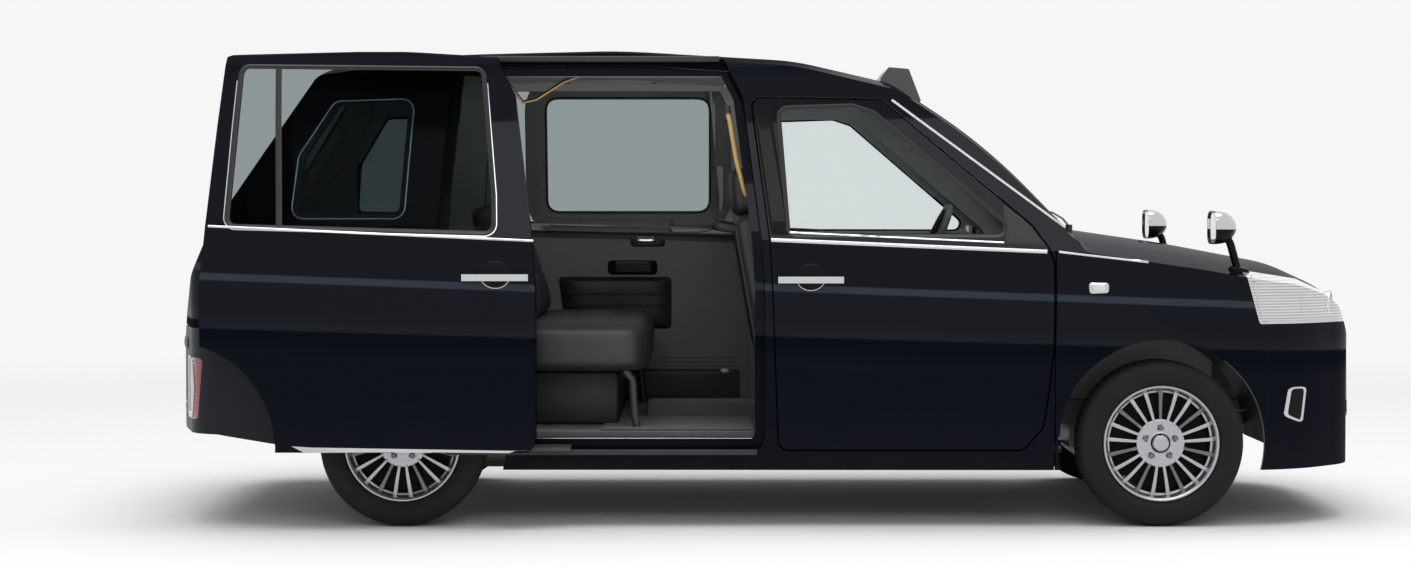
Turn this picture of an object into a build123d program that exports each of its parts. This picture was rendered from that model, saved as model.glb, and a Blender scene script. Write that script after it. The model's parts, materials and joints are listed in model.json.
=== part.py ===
from build123d import *
from math import atan2, cos, degrees, hypot, pi, radians, sin, tan
import os

# A tall taxi cab: +X forward, +Y to the car's left, +Z up, millimetres.
# The origin is on the ground, on the centreline, midway between the axles.

# Overall sizes
length = 4400
width = 1695
height = 1760
wheelbase = 2750
track = 1480
half_length = length / 2
half_width = width / 2
front_axle = wheelbase / 2
rear_axle_x = -wheelbase / 2
far = 2 * length  # overrun of every cutting prism

# Wheels and tyres
tyre_radius = 301.5
tyre_width = 185
rim_radius = 203
rim_bead = 190
rim_wall = 6
rim_half_width = 76
rim_lip = 9
hub_radius = 86
hub_thickness = 34
spoke_count = 21
spoke_width = 13
cap_radius = 31
cap_height = 9
spindle_radius = 17
spindle_play = 0.1

# Body
arch_radius = 376
liner_thickness = 3
ground_clearance = 205
floor_top = 335
floor_thickness = 42
belt_slope = 2.3
crown_radius = 5000
roof_half_width = 565
roof_thickness = 44
skin = 18
door_thickness = 88
frame_thickness = 50
door_gap = 6
panel_gap = 4
glass_thickness = 5
glass_inset = 4
glass_seat = 0.3
seal_gap = 0.3  # between a closed door or lid and the frame behind it
firewall_x = 1062
firewall_thickness = 22

# Sliding door travel
slide_back = 815
slide_out = 125

# Doors, lids and their hinges
jamb_flange = 34
handle_length = 236
handle_height = 24
handle_depth = 16
handle_stand = 22
handle_foot = 34
scoop_depth = 14

# Corner radii of the outlines
door_corner = 40
rear_door_corner = 45
window_corner = 32
panel_corner = 12
lamp_corner = 14
lamp_depth = 40

# Roller arms of the sliding door
arm_height = 14
arm_width = 190
upper_arm_inner = 610
upper_arm_outer = 790
upper_arm_z = 1668
upper_arm_x = -1030
centre_arm_height = 36
centre_arm_x = -1990
centre_arm_z = 860

# Bumper, grille and roof sign
grille_bar_count = 6
grille_bar = 9
grille_surround = 16
grille_fit = 0.5

# Number plate brackets, front and rear, each with its two bolt holes
plate_bolt_spacing = 210
plate_bolt_radius = 3.5
plate_bolt_depth = 12
plate_bolt_front_z = 595
plate_bolt_rear_z = 942
bracket_front_x = 2160
bracket_rear_x = -2212
bracket_half_width = 165
bracket_wall = 4
bracket_front_depth = 30
bracket_rear_depth = 57
bracket_drop = 150
bracket_rise = 12
panel_seam = 0.8
sign_half_width = 165
sign_corner = 7

# Fender mirrors
mirror_x = 1570
mirror_y = 700
mirror_z = 1083
mirror_length = 92
mirror_width = 168
mirror_height = 122
mirror_corner = 40
mirror_foot_x = 1600
mirror_foot_length = 120
mirror_foot_width = 46

# Inside
tunnel_half_width = 120
tunnel_height = 60
seat_width = 500
seat_offset = 365
seat_front = 460
seat_length = 520
seat_base_z = 450
seat_thick = 190
seat_back_height = 700
seat_back_thick = 120
seat_back_lean = 10
headrest_width = 250
headrest_height = 150
headrest_thick = 90
seat_round = 38
seat_stand_height = 65
bench_front = -480
bench_length = 520
bench_half_width = 640
bench_base_z = 540
bench_thick = 200
bench_back_height = 620
bench_back_lean = 16
dash_rear = 700
dash_half_width = 700
dash_round = 45
wheel_ring_radius = 185
wheel_ring_thick = 15
wheel_hub_radius = 70
column_tilt = 24
column_x = 640
column_y = 365
column_z = 985
column_length = 240
column_radius = 22

# Chassis
knuckle_offset = 112
kingpin_radius = 12
kingpin_high = 420
knuckle_boss = 24
arm_thick = 30
arm_root_half_width = 150
arm_end_half_width = 24
subframe_half_width = 400
subframe_half_length = 210
subframe_low = 195
subframe_high = 245
engine_half_width = 360
engine_half_length = 270
engine_high = 840
beam_radius = 38
exhaust_radius = 26
exhaust_y = -260
exhaust_front_y = -130
exhaust_z = 225
muffler_radius = 64
muffler_length = 520
hanger_x = 300
hanger_thick = 20
rail_width = 60
rail_play = 8
rail_low = 340
rail_high = 430
rail_leg = 60
bumper_beam_x = 2030
bumper_beam_depth = 40
bumper_beam_half_width = 520
tie_bar_half_width = 415
tie_bar_x = 1925
tie_bar_low = 820
kick_x = -1110
load_floor_top = 440
bonnet_bow = 70
firewall_half_width = 700
column_play = 0.3
tail_lamp_inner_y = 640
rear_gap = 5
dash_top = 985
dash_drop = 70
dash_nose = 130
dash_rise = 20
dash_low = 560
seat_dip = 30
seat_stand = 180
bench_stand = 420
bench_stand_back = 120
wheel_spoke = 34
spindle_end = 30
disc_radius = 128
disc_thick = 11
arm_play = 0.3
beam_half_length = 610
trailing_y = 400
trailing_thick = 50
pipe_bend_x = 950
pipe_bend_rear_x = 790
pipe_rear = 180
pipe_bend = 100
floor_tail = 340
tunnel_length = 500
well_clearance = 12
mirror_taper = 12
mirror_foot_z = 930
mirror_foot_corner = 16
tyre_fit = 0.3
tyre_side_share = 0.45
tyre_shoulder = 26
spoke_plane = 62
spoke_thickness = 20
window_outer = 186
window_inner = 92
hub_inner = 12
spindle_reach = 36
glass_top_low = 1400
handle_front_x = 103
handle_front_z = 896
handle_rear_x = -209
handle_rear_z = 908

# Side view outlines: (share of half the length, share of the height, share of half the length
# for the corner's radius)
side_profile_shares = [
    (0.955, 0.050, 0.009),
    (0.984, 0.134, 0.007),
    (0.976, 0.170, 0.018),
    (0.984, 0.244, 0.036),
    (0.963, 0.409, 0.068),
    (0.940, 0.474, 0.027),
    (0.914, 0.503, 0.041),
    (0.855, 0.537, 0.136),
    (0.682, 0.578, 0.682),
    (0.500, 0.611, 0.027),
    (0.340, 0.811, 0.900),
    (0.190, 0.931, 0.055),
    (0.027, 0.978, 0.409),
    (-0.273, 1.000, 1.136),
    (-0.568, 0.991, 1.136),
    (-0.768, 0.960, 0.023),
    (-0.948, 0.634, 0.091),
    (-0.982, 0.545, 0.068),
    (-1.002, 0.455, 0.036),
    (-1.016, 0.364, 0.023),
    (-1.018, 0.256, 0.027),
    (-1.002, 0.170, 0.023),
    (-0.955, 0.050, 0.009),
]

# Half of the cross-section: (share of half the width, share of the height, share of half the
# width for the corner's radius)
section_shares = [
    (0.930, 0.0500, 0.012),
    (0.975, 0.180, 0.060),
    (0.985, 0.250, 0.060),
    (0.968, 0.325, 0.300),
    (0.982, 0.395, 0.030),
    (1.000, 0.487, 0.060),
    (0.985, 0.588, 0.040),
    (0.765, 1.080, 0.010),
]

# Half of the upper limit of the cross-section, which rounds the roof's sides: same columns
roof_side_shares = [
    (1.100, 0.050, 0.010),
    (1.022, 0.600, 0.010),
    (0.806, 0.972, 0.110),
    (0.300, 1.001, 0.200),
]

# Half of the cabin's inside: same columns
inside_shares = [
    (0.896, 0.050, 0.010),
    (0.896, 0.575, 0.020),
    (0.922, 0.605, 0.020),
    (0.738, 0.975, 0.080),
    (0.300, 1.001, 0.200),
]

# Half of the plan view: (share of half the length, share of half the width, share of half the
# length for the corner's radius)
plan_shares = [
    (0.986, 0.260, 0.340),
    (0.960, 0.660, 0.118),
    (0.841, 0.944, 0.227),
    (0.591, 1.001, 0.409),
    (-0.700, 1.001, 0.409),
    (-0.968, 0.950, 0.064),
    (-1.019, 0.500, 0.300),
]

# Door and glass outlines: (share of half the length, share of the height)
front_door_shares = [
    (-0.007, 0.156),
    (-0.017, 0.488),
    (-0.022, 0.590),
    (-0.053, 0.887),
    (0.166, 0.882),
    (0.412, 0.621),
    (0.438, 0.576),
    (0.448, 0.545),
    (0.448, 0.364),
    (0.441, 0.284),
    (0.430, 0.202),
    (0.397, 0.156),
]
front_window_shares = [
    (-0.005, 0.862),
    (0.118, 0.867),
    (0.152, 0.853),
    (0.392, 0.598),
    (0.011, 0.599),
]
rear_door_shares = [
    (-0.034, 0.156),
    (-0.028, 0.188),
    (-0.028, 0.489),
    (-0.033, 0.590),
    (-0.064, 0.887),
    (-0.105, 0.988),
    (-0.541, 0.990),
    (-0.568, 0.602),
    (-0.577, 0.489),
    (-0.580, 0.156),
]
quarter_window_shares = [
    (-0.612, 0.875),
    (-0.735, 0.870),
    (-0.790, 0.760),
    (-0.800, 0.640),
    (-0.625, 0.640),
]
rear_window_shares = [
    (-0.119, 0.940),
    (-0.514, 0.945),
    (-0.530, 0.620),
    (-0.098, 0.605),
    (-0.0995, 0.682),
]
headlamp_shares = [
    (0.761, 0.528),
    (0.916, 0.498),
    (1.020, 0.470),
    (1.020, 0.417),
    (0.786, 0.417),
]
tail_lamp_shares = [
    (-0.955, 0.346),
    (-1.060, 0.352),
    (-1.060, 0.220),
    (-0.965, 0.219),
]
fender_shares = [
    (0.450, 0.050),
    (0.450, 0.568),
    (0.500, 0.594),
    (0.500, 0.700),
    (1.100, 0.700),
    (1.100, 0.417),
    (0.799, 0.417),
    (0.799, 0.050),
]
rear_skirt_shares = [
    (-1.100, -0.200),
    (-1.100, 0.192),
    (-0.930, 0.190),
    (-0.770, 0.156),
    (-0.770, -0.200),
]
roof_sign_shares = [
    (0.1810, 0.905),
    (0.1810, 0.939),
    (0.1955, 0.964),
    (0.2310, 0.960),
    (0.2525, 0.890),
    (0.2400, 0.870),
]

# Front view outlines: (share of half the width, share of the height)
windscreen_shares = [
    (0.600, 0.893),
    (0.800, 0.620),
]
tailgate_shares = [
    (0.640, 1.020),
    (0.840, 0.620),
    (0.840, 0.408),
]
tailgate_window_shares = [
    (0.560, 0.905),
    (0.700, 0.655),
]
grille_shares = [
    (0.480, 0.372),
    (0.600, 0.215),
]


def drawn_in(points, corners, inset):
    """An outline moved inwards by the inset, its rounded corners kept concentric."""
    count = len(points)
    area = sum(
        points[i - 1][0] * points[i][1] - points[i][0] * points[i - 1][1] for i in range(count)
    )
    turn_sign = 1 if area > 0 else -1
    normals = []
    for i in range(count):
        dx = points[i][0] - points[i - 1][0]
        dy = points[i][1] - points[i - 1][1]
        size = hypot(dx, dy)
        normals.append((-turn_sign * dy / size, turn_sign * dx / size))
    new_points = []
    new_corners = []
    for i in range(count):
        before = normals[i]
        after = normals[(i + 1) % count]
        spread = inset / (1 + before[0] * after[0] + before[1] * after[1])
        new_points.append(
            (
                points[i][0] + (before[0] + after[0]) * spread,
                points[i][1] + (before[1] + after[1]) * spread,
            )
        )
        turn = (before[0] * after[1] - before[1] * after[0]) * turn_sign
        new_corners.append(max(corners[i] - inset * (1 if turn > 0 else -1), 0))
    return new_points, new_corners


def outline_face(plane, points, corners, inset=0):
    """A filled outline with rounded corners on a plane, drawn in by the inset."""
    if inset:
        points, corners = drawn_in(points, corners, inset)
    with BuildSketch(plane, mode=Mode.PRIVATE) as face:
        with BuildLine():
            FilletPolyline(*points, radius=corners, close=True)
        make_face()
    return face.sketch


def mirrored(half, corners):
    """Half of an outline joined to its mirror image about the first axis."""
    return half + [(-y, z) for y, z in reversed(half)], corners + corners[::-1]


def side_face(rows, corner, inset=0):
    """A side view outline from its table of shares."""
    points = [(x * half_length, z * height) for x, z in rows]
    return outline_face(Plane.XZ, points, [corner] * len(points), inset)


def front_face(rows, corner, inset=0):
    """A front view outline from half of its table of shares."""
    half = [(y * half_width, z * height) for y, z in rows]
    points, corners = mirrored(half, [corner] * len(half))
    return outline_face(Plane.YZ, points, corners, inset)


def crowned_form(inset):
    """The side profile turned about a line far below, so the roof and bonnet are crowned."""
    points = [(x * half_length, z * height) for x, z, corner in side_profile_shares]
    corners = [corner * half_length for x, z, corner in side_profile_shares]
    profile = outline_face(Plane.XZ, points, corners, inset)
    with BuildPart() as form:
        revolve(profile, axis=Axis((0, 0, height - crown_radius), (1, 0, 0)))
    return form.part


def section_form(inset, rows, slope_angle):
    """A cross-section run along the car, sloping down towards the nose."""
    half = [(y * half_width, z * height) for y, z, corner in rows]
    points, corners = mirrored(half, [corner * half_width for y, z, corner in rows])
    slope = radians(slope_angle)
    across = Plane(origin=(0, 0, 0), x_dir=(0, 1, 0), z_dir=(cos(slope), 0, -sin(slope)))
    with BuildPart() as form:
        extrude(outline_face(across, points, corners, inset), amount=length, both=True)
    return form.part


def plan_form(inset):
    """The plan view run upwards."""
    half = [(y * half_width, x * half_length) for x, y, corner in plan_shares]
    points, corners = mirrored(half, [corner * half_length for x, y, corner in plan_shares])
    plan = Plane(origin=(0, 0, -height), x_dir=(0, 1, 0), z_dir=(0, 0, -1))
    with BuildPart() as form:
        extrude(outline_face(plan, points, corners, inset), amount=-3 * height)
    return form.part


def body_form(inset):
    """The car's outer form, drawn in by the inset."""
    with BuildPart() as form:
        add(crowned_form(inset))
        add(section_form(inset, section_shares, belt_slope), mode=Mode.INTERSECT)
        add(section_form(inset, roof_side_shares, 0), mode=Mode.INTERSECT)
        add(plan_form(inset), mode=Mode.INTERSECT)
        split(bisect_by=Plane.XY.offset(ground_clearance), keep=Keep.TOP)
    return form.part


def run(face, amount):
    """A face run straight out, kept apart from any part being built."""
    return extrude(face, amount=amount, mode=Mode.PRIVATE)


def side_prism(face, side):
    """A side view outline run outwards from the centreline: side -1 is right, 1 is left."""
    return run(face, -side * width)


def slab(x_range, y_range, z_range):
    """A box between two corners."""
    low, high = zip(x_range, y_range, z_range)
    size = [b - a for a, b in zip(low, high)]
    middle = [(a + b) / 2 for a, b in zip(low, high)]
    return Pos(*middle) * Box(*size, mode=Mode.PRIVATE)


def wheel_well(axle_x, radius, inner_y, outer_y):
    """A lying drum over one axle on both sides, to cut the arches."""
    with BuildPart() as well:
        for side in (-1, 1):
            with BuildSketch(Plane.XZ.offset(-side * inner_y)):
                with Locations((axle_x, tyre_radius)):
                    Circle(radius)
            extrude(amount=-side * (outer_y - inner_y))
    return well.part


# Where the panels meet: x as shares of half the length, y of half the width, z of the height
roof_front_share, roof_rear_share = 0.275, -0.757
bonnet_rear_share, bonnet_front_share, bonnet_low_share = 0.502, 0.918, 0.480
bonnet_width_share, bonnet_front_width_share = 0.735, 0.660
bumper_top_share, bumper_edge_share, nose_panel_share = 0.417, 0.799, 0.500
rear_bumper_front_share, rear_bumper_top_share = -0.800, 0.408
well_inner_share, cowl_share, cant_share = 0.515, 0.568, 0.930

door_front = max(x for x, z in front_door_shares) * half_length
roof_front = roof_front_share * half_length
roof_rear = roof_rear_share * half_length
bonnet_rear = bonnet_rear_share * half_length
bonnet_front = bonnet_front_share * half_length
bonnet_low = bonnet_low_share * height
bonnet_half_width = bonnet_width_share * half_width
bonnet_front_half_width = bonnet_front_width_share * half_width
bumper_top = bumper_top_share * height
bumper_rear_edge = bumper_edge_share * half_length
nose_panel_half_width = nose_panel_share * half_width
rear_bumper_front = rear_bumper_front_share * half_length
rear_bumper_top = rear_bumper_top_share * height
bay_rear = door_front + panel_gap
well_inner = well_inner_share * half_width
cowl_bottom = cowl_share * height
cant_low = cant_share * height
inside_half = inside_shares[0][0] * half_width
floor_half_width = inside_half - frame_thickness
floor_low = floor_top - floor_thickness
roof_edge = roof_half_width + door_gap



def cabin_form(grow):
    """The cabin's inside, grown by the gap at its seals."""
    with BuildPart() as inside:
        add(crowned_form(roof_thickness - grow))
        add(section_form(-grow, inside_shares, 0), mode=Mode.INTERSECT)
        add(plan_form(roof_thickness - grow), mode=Mode.INTERSECT)
        add(slab((-far, firewall_x), (-width, width), (-height, far)), mode=Mode.INTERSECT)
    return inside.part


inside_form = cabin_form(0)
sealed_form = cabin_form(seal_gap)
lining_form = section_form(frame_thickness, inside_shares, 0)

outer_form = body_form(0)
glass_outside = body_form(glass_inset)
glass_inside = body_form(glass_inset + glass_thickness)
skin_inside = body_form(skin)
lamp_inside = body_form(lamp_depth)

# The flange behind the doors, and the one behind the tailgate
roof_middle = roof_half_width - frame_thickness
with BuildPart() as ring:
    add(inside_form)
    add(lining_form, mode=Mode.SUBTRACT)
    add(slab((-far, door_front), (-width, width), (ground_clearance, far)), mode=Mode.INTERSECT)
    add(slab((-far, far), (-roof_middle, roof_middle), (glass_top_low, far)), mode=Mode.SUBTRACT)
inner_ring = ring.part

tail_low = rear_bumper_top - frame_thickness
with BuildPart() as tail_ring:
    add(inside_form)
    add(lining_form, mode=Mode.INTERSECT)
    add(crowned_form(roof_thickness + frame_thickness), mode=Mode.SUBTRACT)
    add(slab((-far, roof_rear), (-width, width), (tail_low, far)), mode=Mode.INTERSECT)
    add(
        run(front_face(tailgate_shares, window_corner, jamb_flange), -far), mode=Mode.SUBTRACT
    )

with BuildPart() as layer:
    add(glass_outside)
    add(glass_inside, mode=Mode.SUBTRACT)
glass_layer = layer.part

with BuildPart() as bay:
    add(skin_inside)
    add(slab((bay_rear, far), (-width, width), (-height, far)), mode=Mode.INTERSECT)
bay_form = bay.part

front_wells = wheel_well(front_axle, arch_radius, well_inner, width)
rear_wells = wheel_well(rear_axle_x, arch_radius, well_inner, width)
wide_radius = arch_radius + liner_thickness + seal_gap
front_wells_wide = wheel_well(front_axle, wide_radius, well_inner, width)
rear_wells_wide = wheel_well(rear_axle_x, wide_radius, well_inner, width)
windscreen_cut = run(front_face(windscreen_shares, window_corner), far)
tailgate_face = front_face(tailgate_shares, window_corner)
grille_face = front_face(grille_shares, window_corner)
front_door_face = side_face(front_door_shares, door_corner)
rear_door_face = side_face(rear_door_shares, rear_door_corner)
fender_face = side_face(fender_shares, panel_corner)
headlamp_face = side_face(headlamp_shares, lamp_corner)
tail_lamp_face = side_face(tail_lamp_shares, lamp_corner)
skirt_face = side_face(rear_skirt_shares, lamp_corner)



def wall_form(hollow):
    """The cabin's wall around a hollow, with the rear arches cut."""
    with BuildPart() as wall:
        add(outer_form)
        add(hollow, mode=Mode.SUBTRACT)
        add(slab((-far, bonnet_rear), (-width, width), (-height, far)), mode=Mode.INTERSECT)
        add(slab((firewall_x, far), (-width, width), (-height, cowl_bottom)), mode=Mode.SUBTRACT)
        add(rear_wells, mode=Mode.SUBTRACT)
    return wall.part


cabin_wall = wall_form(inside_form)
door_wall = wall_form(sealed_form)

with BuildPart() as nose:
    add(outer_form)
    add(bay_form, mode=Mode.SUBTRACT)
    add(slab((bay_rear, far), (-width, width), (-height, far)), mode=Mode.INTERSECT)
    add(front_wells, mode=Mode.SUBTRACT)
nose_wall = nose.part

quarter_cut = side_face(quarter_window_shares, window_corner)
rear_side = slab((-far, rear_bumper_front), (-width, width), (-height, rear_bumper_top))
tailgate_cut = run(tailgate_face, -far)
roof_zone = slab(
    (roof_rear, roof_front), (-roof_half_width, roof_half_width), (glass_top_low, far)
)
cowl_zone = slab(
    (door_front, bonnet_rear), (-bonnet_half_width, bonnet_half_width), (0, glass_top_low)
)


rear_middle = slab(
    (-far, bonnet_rear + panel_gap), (-bonnet_half_width, bonnet_half_width), (0, far)
)
nose_middle = slab(
    (bonnet_front, far), (-nose_panel_half_width, nose_panel_half_width), (0, far)
)


def bonnet_prism(grow):
    """The bonnet's plan outline run upwards, grown by the gap around it."""
    points = [
        (bonnet_rear, bonnet_half_width),
        (bonnet_rear, -bonnet_half_width),
        (bonnet_front, -bonnet_front_half_width),
        (bonnet_front + bonnet_bow, 0),
        (bonnet_front, bonnet_front_half_width),
    ]
    with BuildPart() as prism:
        with BuildSketch(Plane.XY.offset(bonnet_low)):
            with BuildLine():
                Polyline(*points, close=True)
            make_face()
            if grow:
                offset(amount=grow, kind=Kind.INTERSECTION)
        extrude(amount=height)
    return prism.part


def door_part(face, cut_faces, side, x_handle, z_handle):
    """One door: the wall inside its outline, its window cut, a scooped handle on it."""
    with BuildPart() as door:
        add(door_wall)
        add(side_prism(face, side), mode=Mode.INTERSECT)
        outer_zone = slab((-far, far), sorted((roof_edge * side, width * side)), (0, far))
        add(outer_zone, mode=Mode.INTERSECT)
        for cut in cut_faces:
            add(side_prism(cut, side), mode=Mode.SUBTRACT)
        y_skin = side * half_width
        y_bar = y_skin + side * (handle_stand - handle_depth)
        bar = slab(
            (x_handle - handle_length / 2, x_handle + handle_length / 2),
            sorted((y_bar, y_skin + side * handle_stand)),
            (z_handle - handle_height / 2, z_handle + handle_height / 2),
        )
        add(bar)
        for end in (-1, 1):
            x_foot = x_handle + end * (handle_length - handle_foot) / 2
            add(
                slab(
                    (x_foot - handle_foot / 2, x_foot + handle_foot / 2),
                    sorted((y_skin - side * scoop_depth, y_bar)),
                    (z_handle - handle_height / 2, z_handle + handle_height / 2),
                )
            )
    return door.part


def finish(shape, name):
    """Label one piece and write its file."""
    shape.label = name
    export_step(shape, f"parts/{name}.step")
    print(name, len(shape.solids()), round(shape.volume / 1000), flush=True)


os.makedirs("parts", exist_ok=True)

for side, name in ((-1, "right"), (1, "left")):
    half_space = slab((-far, far), sorted((0, side * width)), (-height, far))
    front_cut = side_prism(front_door_face, side)
    rear_cut = side_prism(rear_door_face, side)
    front_jamb = side_prism(side_face(front_door_shares, door_corner, jamb_flange), side)
    rear_jamb = side_prism(side_face(rear_door_shares, rear_door_corner, jamb_flange), side)
    cant_rail = slab((-far, far), (-width, width), (cant_low, far))

    # Side frame: posts, sill, cant rail and quarter panel, with the jamb flange behind the doors
    with BuildPart() as frame:
        add(cabin_wall)
        add(half_space, mode=Mode.INTERSECT)
        add(slab((door_front, far), (-width, width), (-height, cowl_bottom)), mode=Mode.SUBTRACT)
        add(side_prism(fender_face, side), mode=Mode.SUBTRACT)
        add(front_cut, mode=Mode.SUBTRACT)
        add(rear_cut, mode=Mode.SUBTRACT)
        add(rear_side, mode=Mode.SUBTRACT)
        add(tailgate_cut, mode=Mode.SUBTRACT)
        add(windscreen_cut, mode=Mode.SUBTRACT)
        add(roof_zone, mode=Mode.SUBTRACT)
        add(cowl_zone, mode=Mode.SUBTRACT)
    frame_wall = frame.part
    with BuildPart() as jamb:
        add(inner_ring)
        add(half_space, mode=Mode.INTERSECT)
        add(front_jamb, mode=Mode.SUBTRACT)
        add(rear_jamb - cant_rail, mode=Mode.SUBTRACT)
        add(rear_wells, mode=Mode.SUBTRACT)
        add(tailgate_cut, mode=Mode.SUBTRACT)
        add(windscreen_cut, mode=Mode.SUBTRACT)
    with BuildPart() as side_frame:
        add(frame_wall)
        add(jamb.part)
        add(side_prism(quarter_cut, side), mode=Mode.SUBTRACT)
        add(side_prism(skirt_face, side), mode=Mode.SUBTRACT)
    finish(side_frame.part, f"side_frame_{name}")

    # Front fender with its wheel arch
    with BuildPart() as fender:
        add(nose_wall)
        add(half_space, mode=Mode.INTERSECT)
        add(side_prism(fender_face, side), mode=Mode.INTERSECT)
        add(side_prism(headlamp_face, side), mode=Mode.SUBTRACT)
        add(bonnet_prism(panel_gap), mode=Mode.SUBTRACT)
        add(rear_middle, mode=Mode.SUBTRACT)
        add(nose_middle, mode=Mode.SUBTRACT)
    finish(fender.part, f"fender_{name}")

    # Front door
    front_window = side_face(front_window_shares, window_corner)
    front_slab = side_face(front_door_shares, door_corner, door_gap)
    front_door = door_part(front_slab, [front_window], side, handle_front_x, handle_front_z)
    finish(front_door, f"front_door_{name}")
    with BuildPart() as glass:
        add(glass_layer)
        glass_face = side_face(front_window_shares, window_corner, glass_seat)
        add(side_prism(glass_face, side), mode=Mode.INTERSECT)
    finish(glass.part, f"front_glass_{name}")

    # Rear door: hinged on the left, sliding and left open on the right
    rear_window = side_face(rear_window_shares, window_corner)
    rear_slab = side_face(rear_door_shares, rear_door_corner, door_gap)
    rear_door = door_part(rear_slab, [rear_window], side, handle_rear_x, handle_rear_z)
    with BuildPart() as rear_glass:
        add(glass_layer)
        glass_face = side_face(rear_window_shares, window_corner, glass_seat)
        add(side_prism(glass_face, side), mode=Mode.INTERSECT)
    if side < 0:
        right_frame = side_frame.part
        sliding_door = Pos(-slide_back, -slide_out, 0) * rear_door
        finish(sliding_door, "sliding_door")
        finish(Pos(-slide_back, -slide_out, 0) * rear_glass.part, "sliding_door_glass")
    else:
        finish(rear_door, "rear_door_left")
        finish(rear_glass.part, "rear_glass_left")

# Roof, windscreen, firewall with cowl, bonnet
with BuildPart() as roof:
    add(cabin_wall)
    add(roof_zone, mode=Mode.INTERSECT)
    add(windscreen_cut, mode=Mode.SUBTRACT)
finish(roof.part, "roof_panel")

with BuildPart() as windscreen:
    add(glass_layer)
    add(run(front_face(windscreen_shares, window_corner, glass_seat), far), mode=Mode.INTERSECT)
    add(slab((0, bonnet_rear), (-width, width), (0, far)), mode=Mode.INTERSECT)
finish(windscreen.part, "windscreen")

with BuildPart() as cowl:
    add(cabin_wall)
    add(
        slab((bay_rear, bonnet_rear), (-bonnet_half_width, bonnet_half_width), (0, far)),
        mode=Mode.INTERSECT,
    )
    add(windscreen_cut, mode=Mode.SUBTRACT)
    for half, top in (
        (firewall_half_width, cowl_bottom),
        (bonnet_half_width, cowl_bottom + roof_thickness),
    ):
        add(slab((firewall_x - firewall_thickness, firewall_x), (-half, half), (floor_low, top)))
    add(front_wells_wide, mode=Mode.SUBTRACT)
finish(cowl.part, "firewall")

with BuildPart() as bonnet:
    add(nose_wall)
    add(bonnet_prism(0), mode=Mode.INTERSECT)
    add(slab((bonnet_rear + panel_gap, far), (-width, width), (0, far)), mode=Mode.INTERSECT)
finish(bonnet.part, "bonnet")

# Front bumper with the panel between the lamps, grille and headlamps
grille_cut = run(grille_face, far)
fender_edge = side_face(fender_shares, panel_corner, -panel_seam)
with BuildPart() as bumper_zone:
    add(slab((bumper_rear_edge, far), (-width, width), (0, bumper_top)))
    add(side_prism(fender_edge, 1), mode=Mode.SUBTRACT)
    add(side_prism(fender_edge, -1), mode=Mode.SUBTRACT)
    add(nose_middle)
with BuildPart() as front_bumper:
    add(nose_wall)
    add(bumper_zone.part, mode=Mode.INTERSECT)
    add(bonnet_prism(panel_gap), mode=Mode.SUBTRACT)
    add(grille_cut, mode=Mode.SUBTRACT)
finish(front_bumper.part, "front_bumper")



def plate_holes(x_face, x_end, z_bolt):
    """The two bolt holes of a number plate, run along the car."""
    with BuildPart() as holes:
        with BuildSketch(Plane.YZ.offset(min(x_face, x_end))):
            for side in (-1, 1):
                with Locations((side * plate_bolt_spacing / 2, z_bolt)):
                    Circle(plate_bolt_radius)
        extrude(amount=abs(x_end - x_face))
    return holes.part


def plate_bracket(x_face, x_end, z_bolt, wall):
    """The bracket that a number plate is bolted to, less a wall on each side."""
    return slab(
        sorted((x_face, x_end)),
        (wall - bracket_half_width, bracket_half_width - wall),
        (z_bolt - bracket_drop + wall, z_bolt + bracket_rise - wall),
    )


low_bar = min(z for y, z in grille_shares) * height
high_bar = max(z for y, z in grille_shares) * height
grille_outline = run(front_face(grille_shares, window_corner, grille_fit), far)
grille_hollow = run(front_face(grille_shares, window_corner, grille_fit + grille_surround), far)
with BuildPart() as grille_prism:
    add(grille_outline)
    add(grille_hollow, mode=Mode.SUBTRACT)
    for i in range(grille_bar_count):
        z_bar = low_bar + (high_bar - low_bar) * (i + 1) / (grille_bar_count + 1)
        add(slab((0, far), (-width, width), (z_bar - grille_bar / 2, z_bar + grille_bar / 2)))
    add(grille_outline, mode=Mode.INTERSECT)
with BuildPart() as grille:
    add(glass_outside)
    add(lamp_inside, mode=Mode.SUBTRACT)
    add(grille_prism.part, mode=Mode.INTERSECT)
    bracket_back_x = bracket_front_x - bracket_front_depth
    bracket_skin_x = bracket_front_x - bracket_wall
    with BuildPart(mode=Mode.PRIVATE) as bracket:
        add(plate_bracket(bracket_front_x, bracket_back_x, plate_bolt_front_z, 0))
        add(
            plate_bracket(bracket_skin_x, bracket_back_x, plate_bolt_front_z, bracket_wall),
            mode=Mode.SUBTRACT,
        )
        add(plate_holes(bracket_front_x, bracket_skin_x, plate_bolt_front_z), mode=Mode.SUBTRACT)
    add(bracket.part)
finish(grille.part, "grille")

lamp_edge = side_face(headlamp_shares, lamp_corner, grille_fit)
lamp_inner_y = nose_panel_half_width + grille_fit
with BuildPart() as headlamps:
    add(outer_form)
    add(lamp_inside, mode=Mode.SUBTRACT)
    add(side_prism(lamp_edge, 1) + side_prism(lamp_edge, -1), mode=Mode.INTERSECT)
    add(slab((-far, far), (-lamp_inner_y, lamp_inner_y), (0, far)), mode=Mode.SUBTRACT)
    add(bonnet_prism(panel_gap), mode=Mode.SUBTRACT)
finish(headlamps.part, "headlamps")

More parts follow.
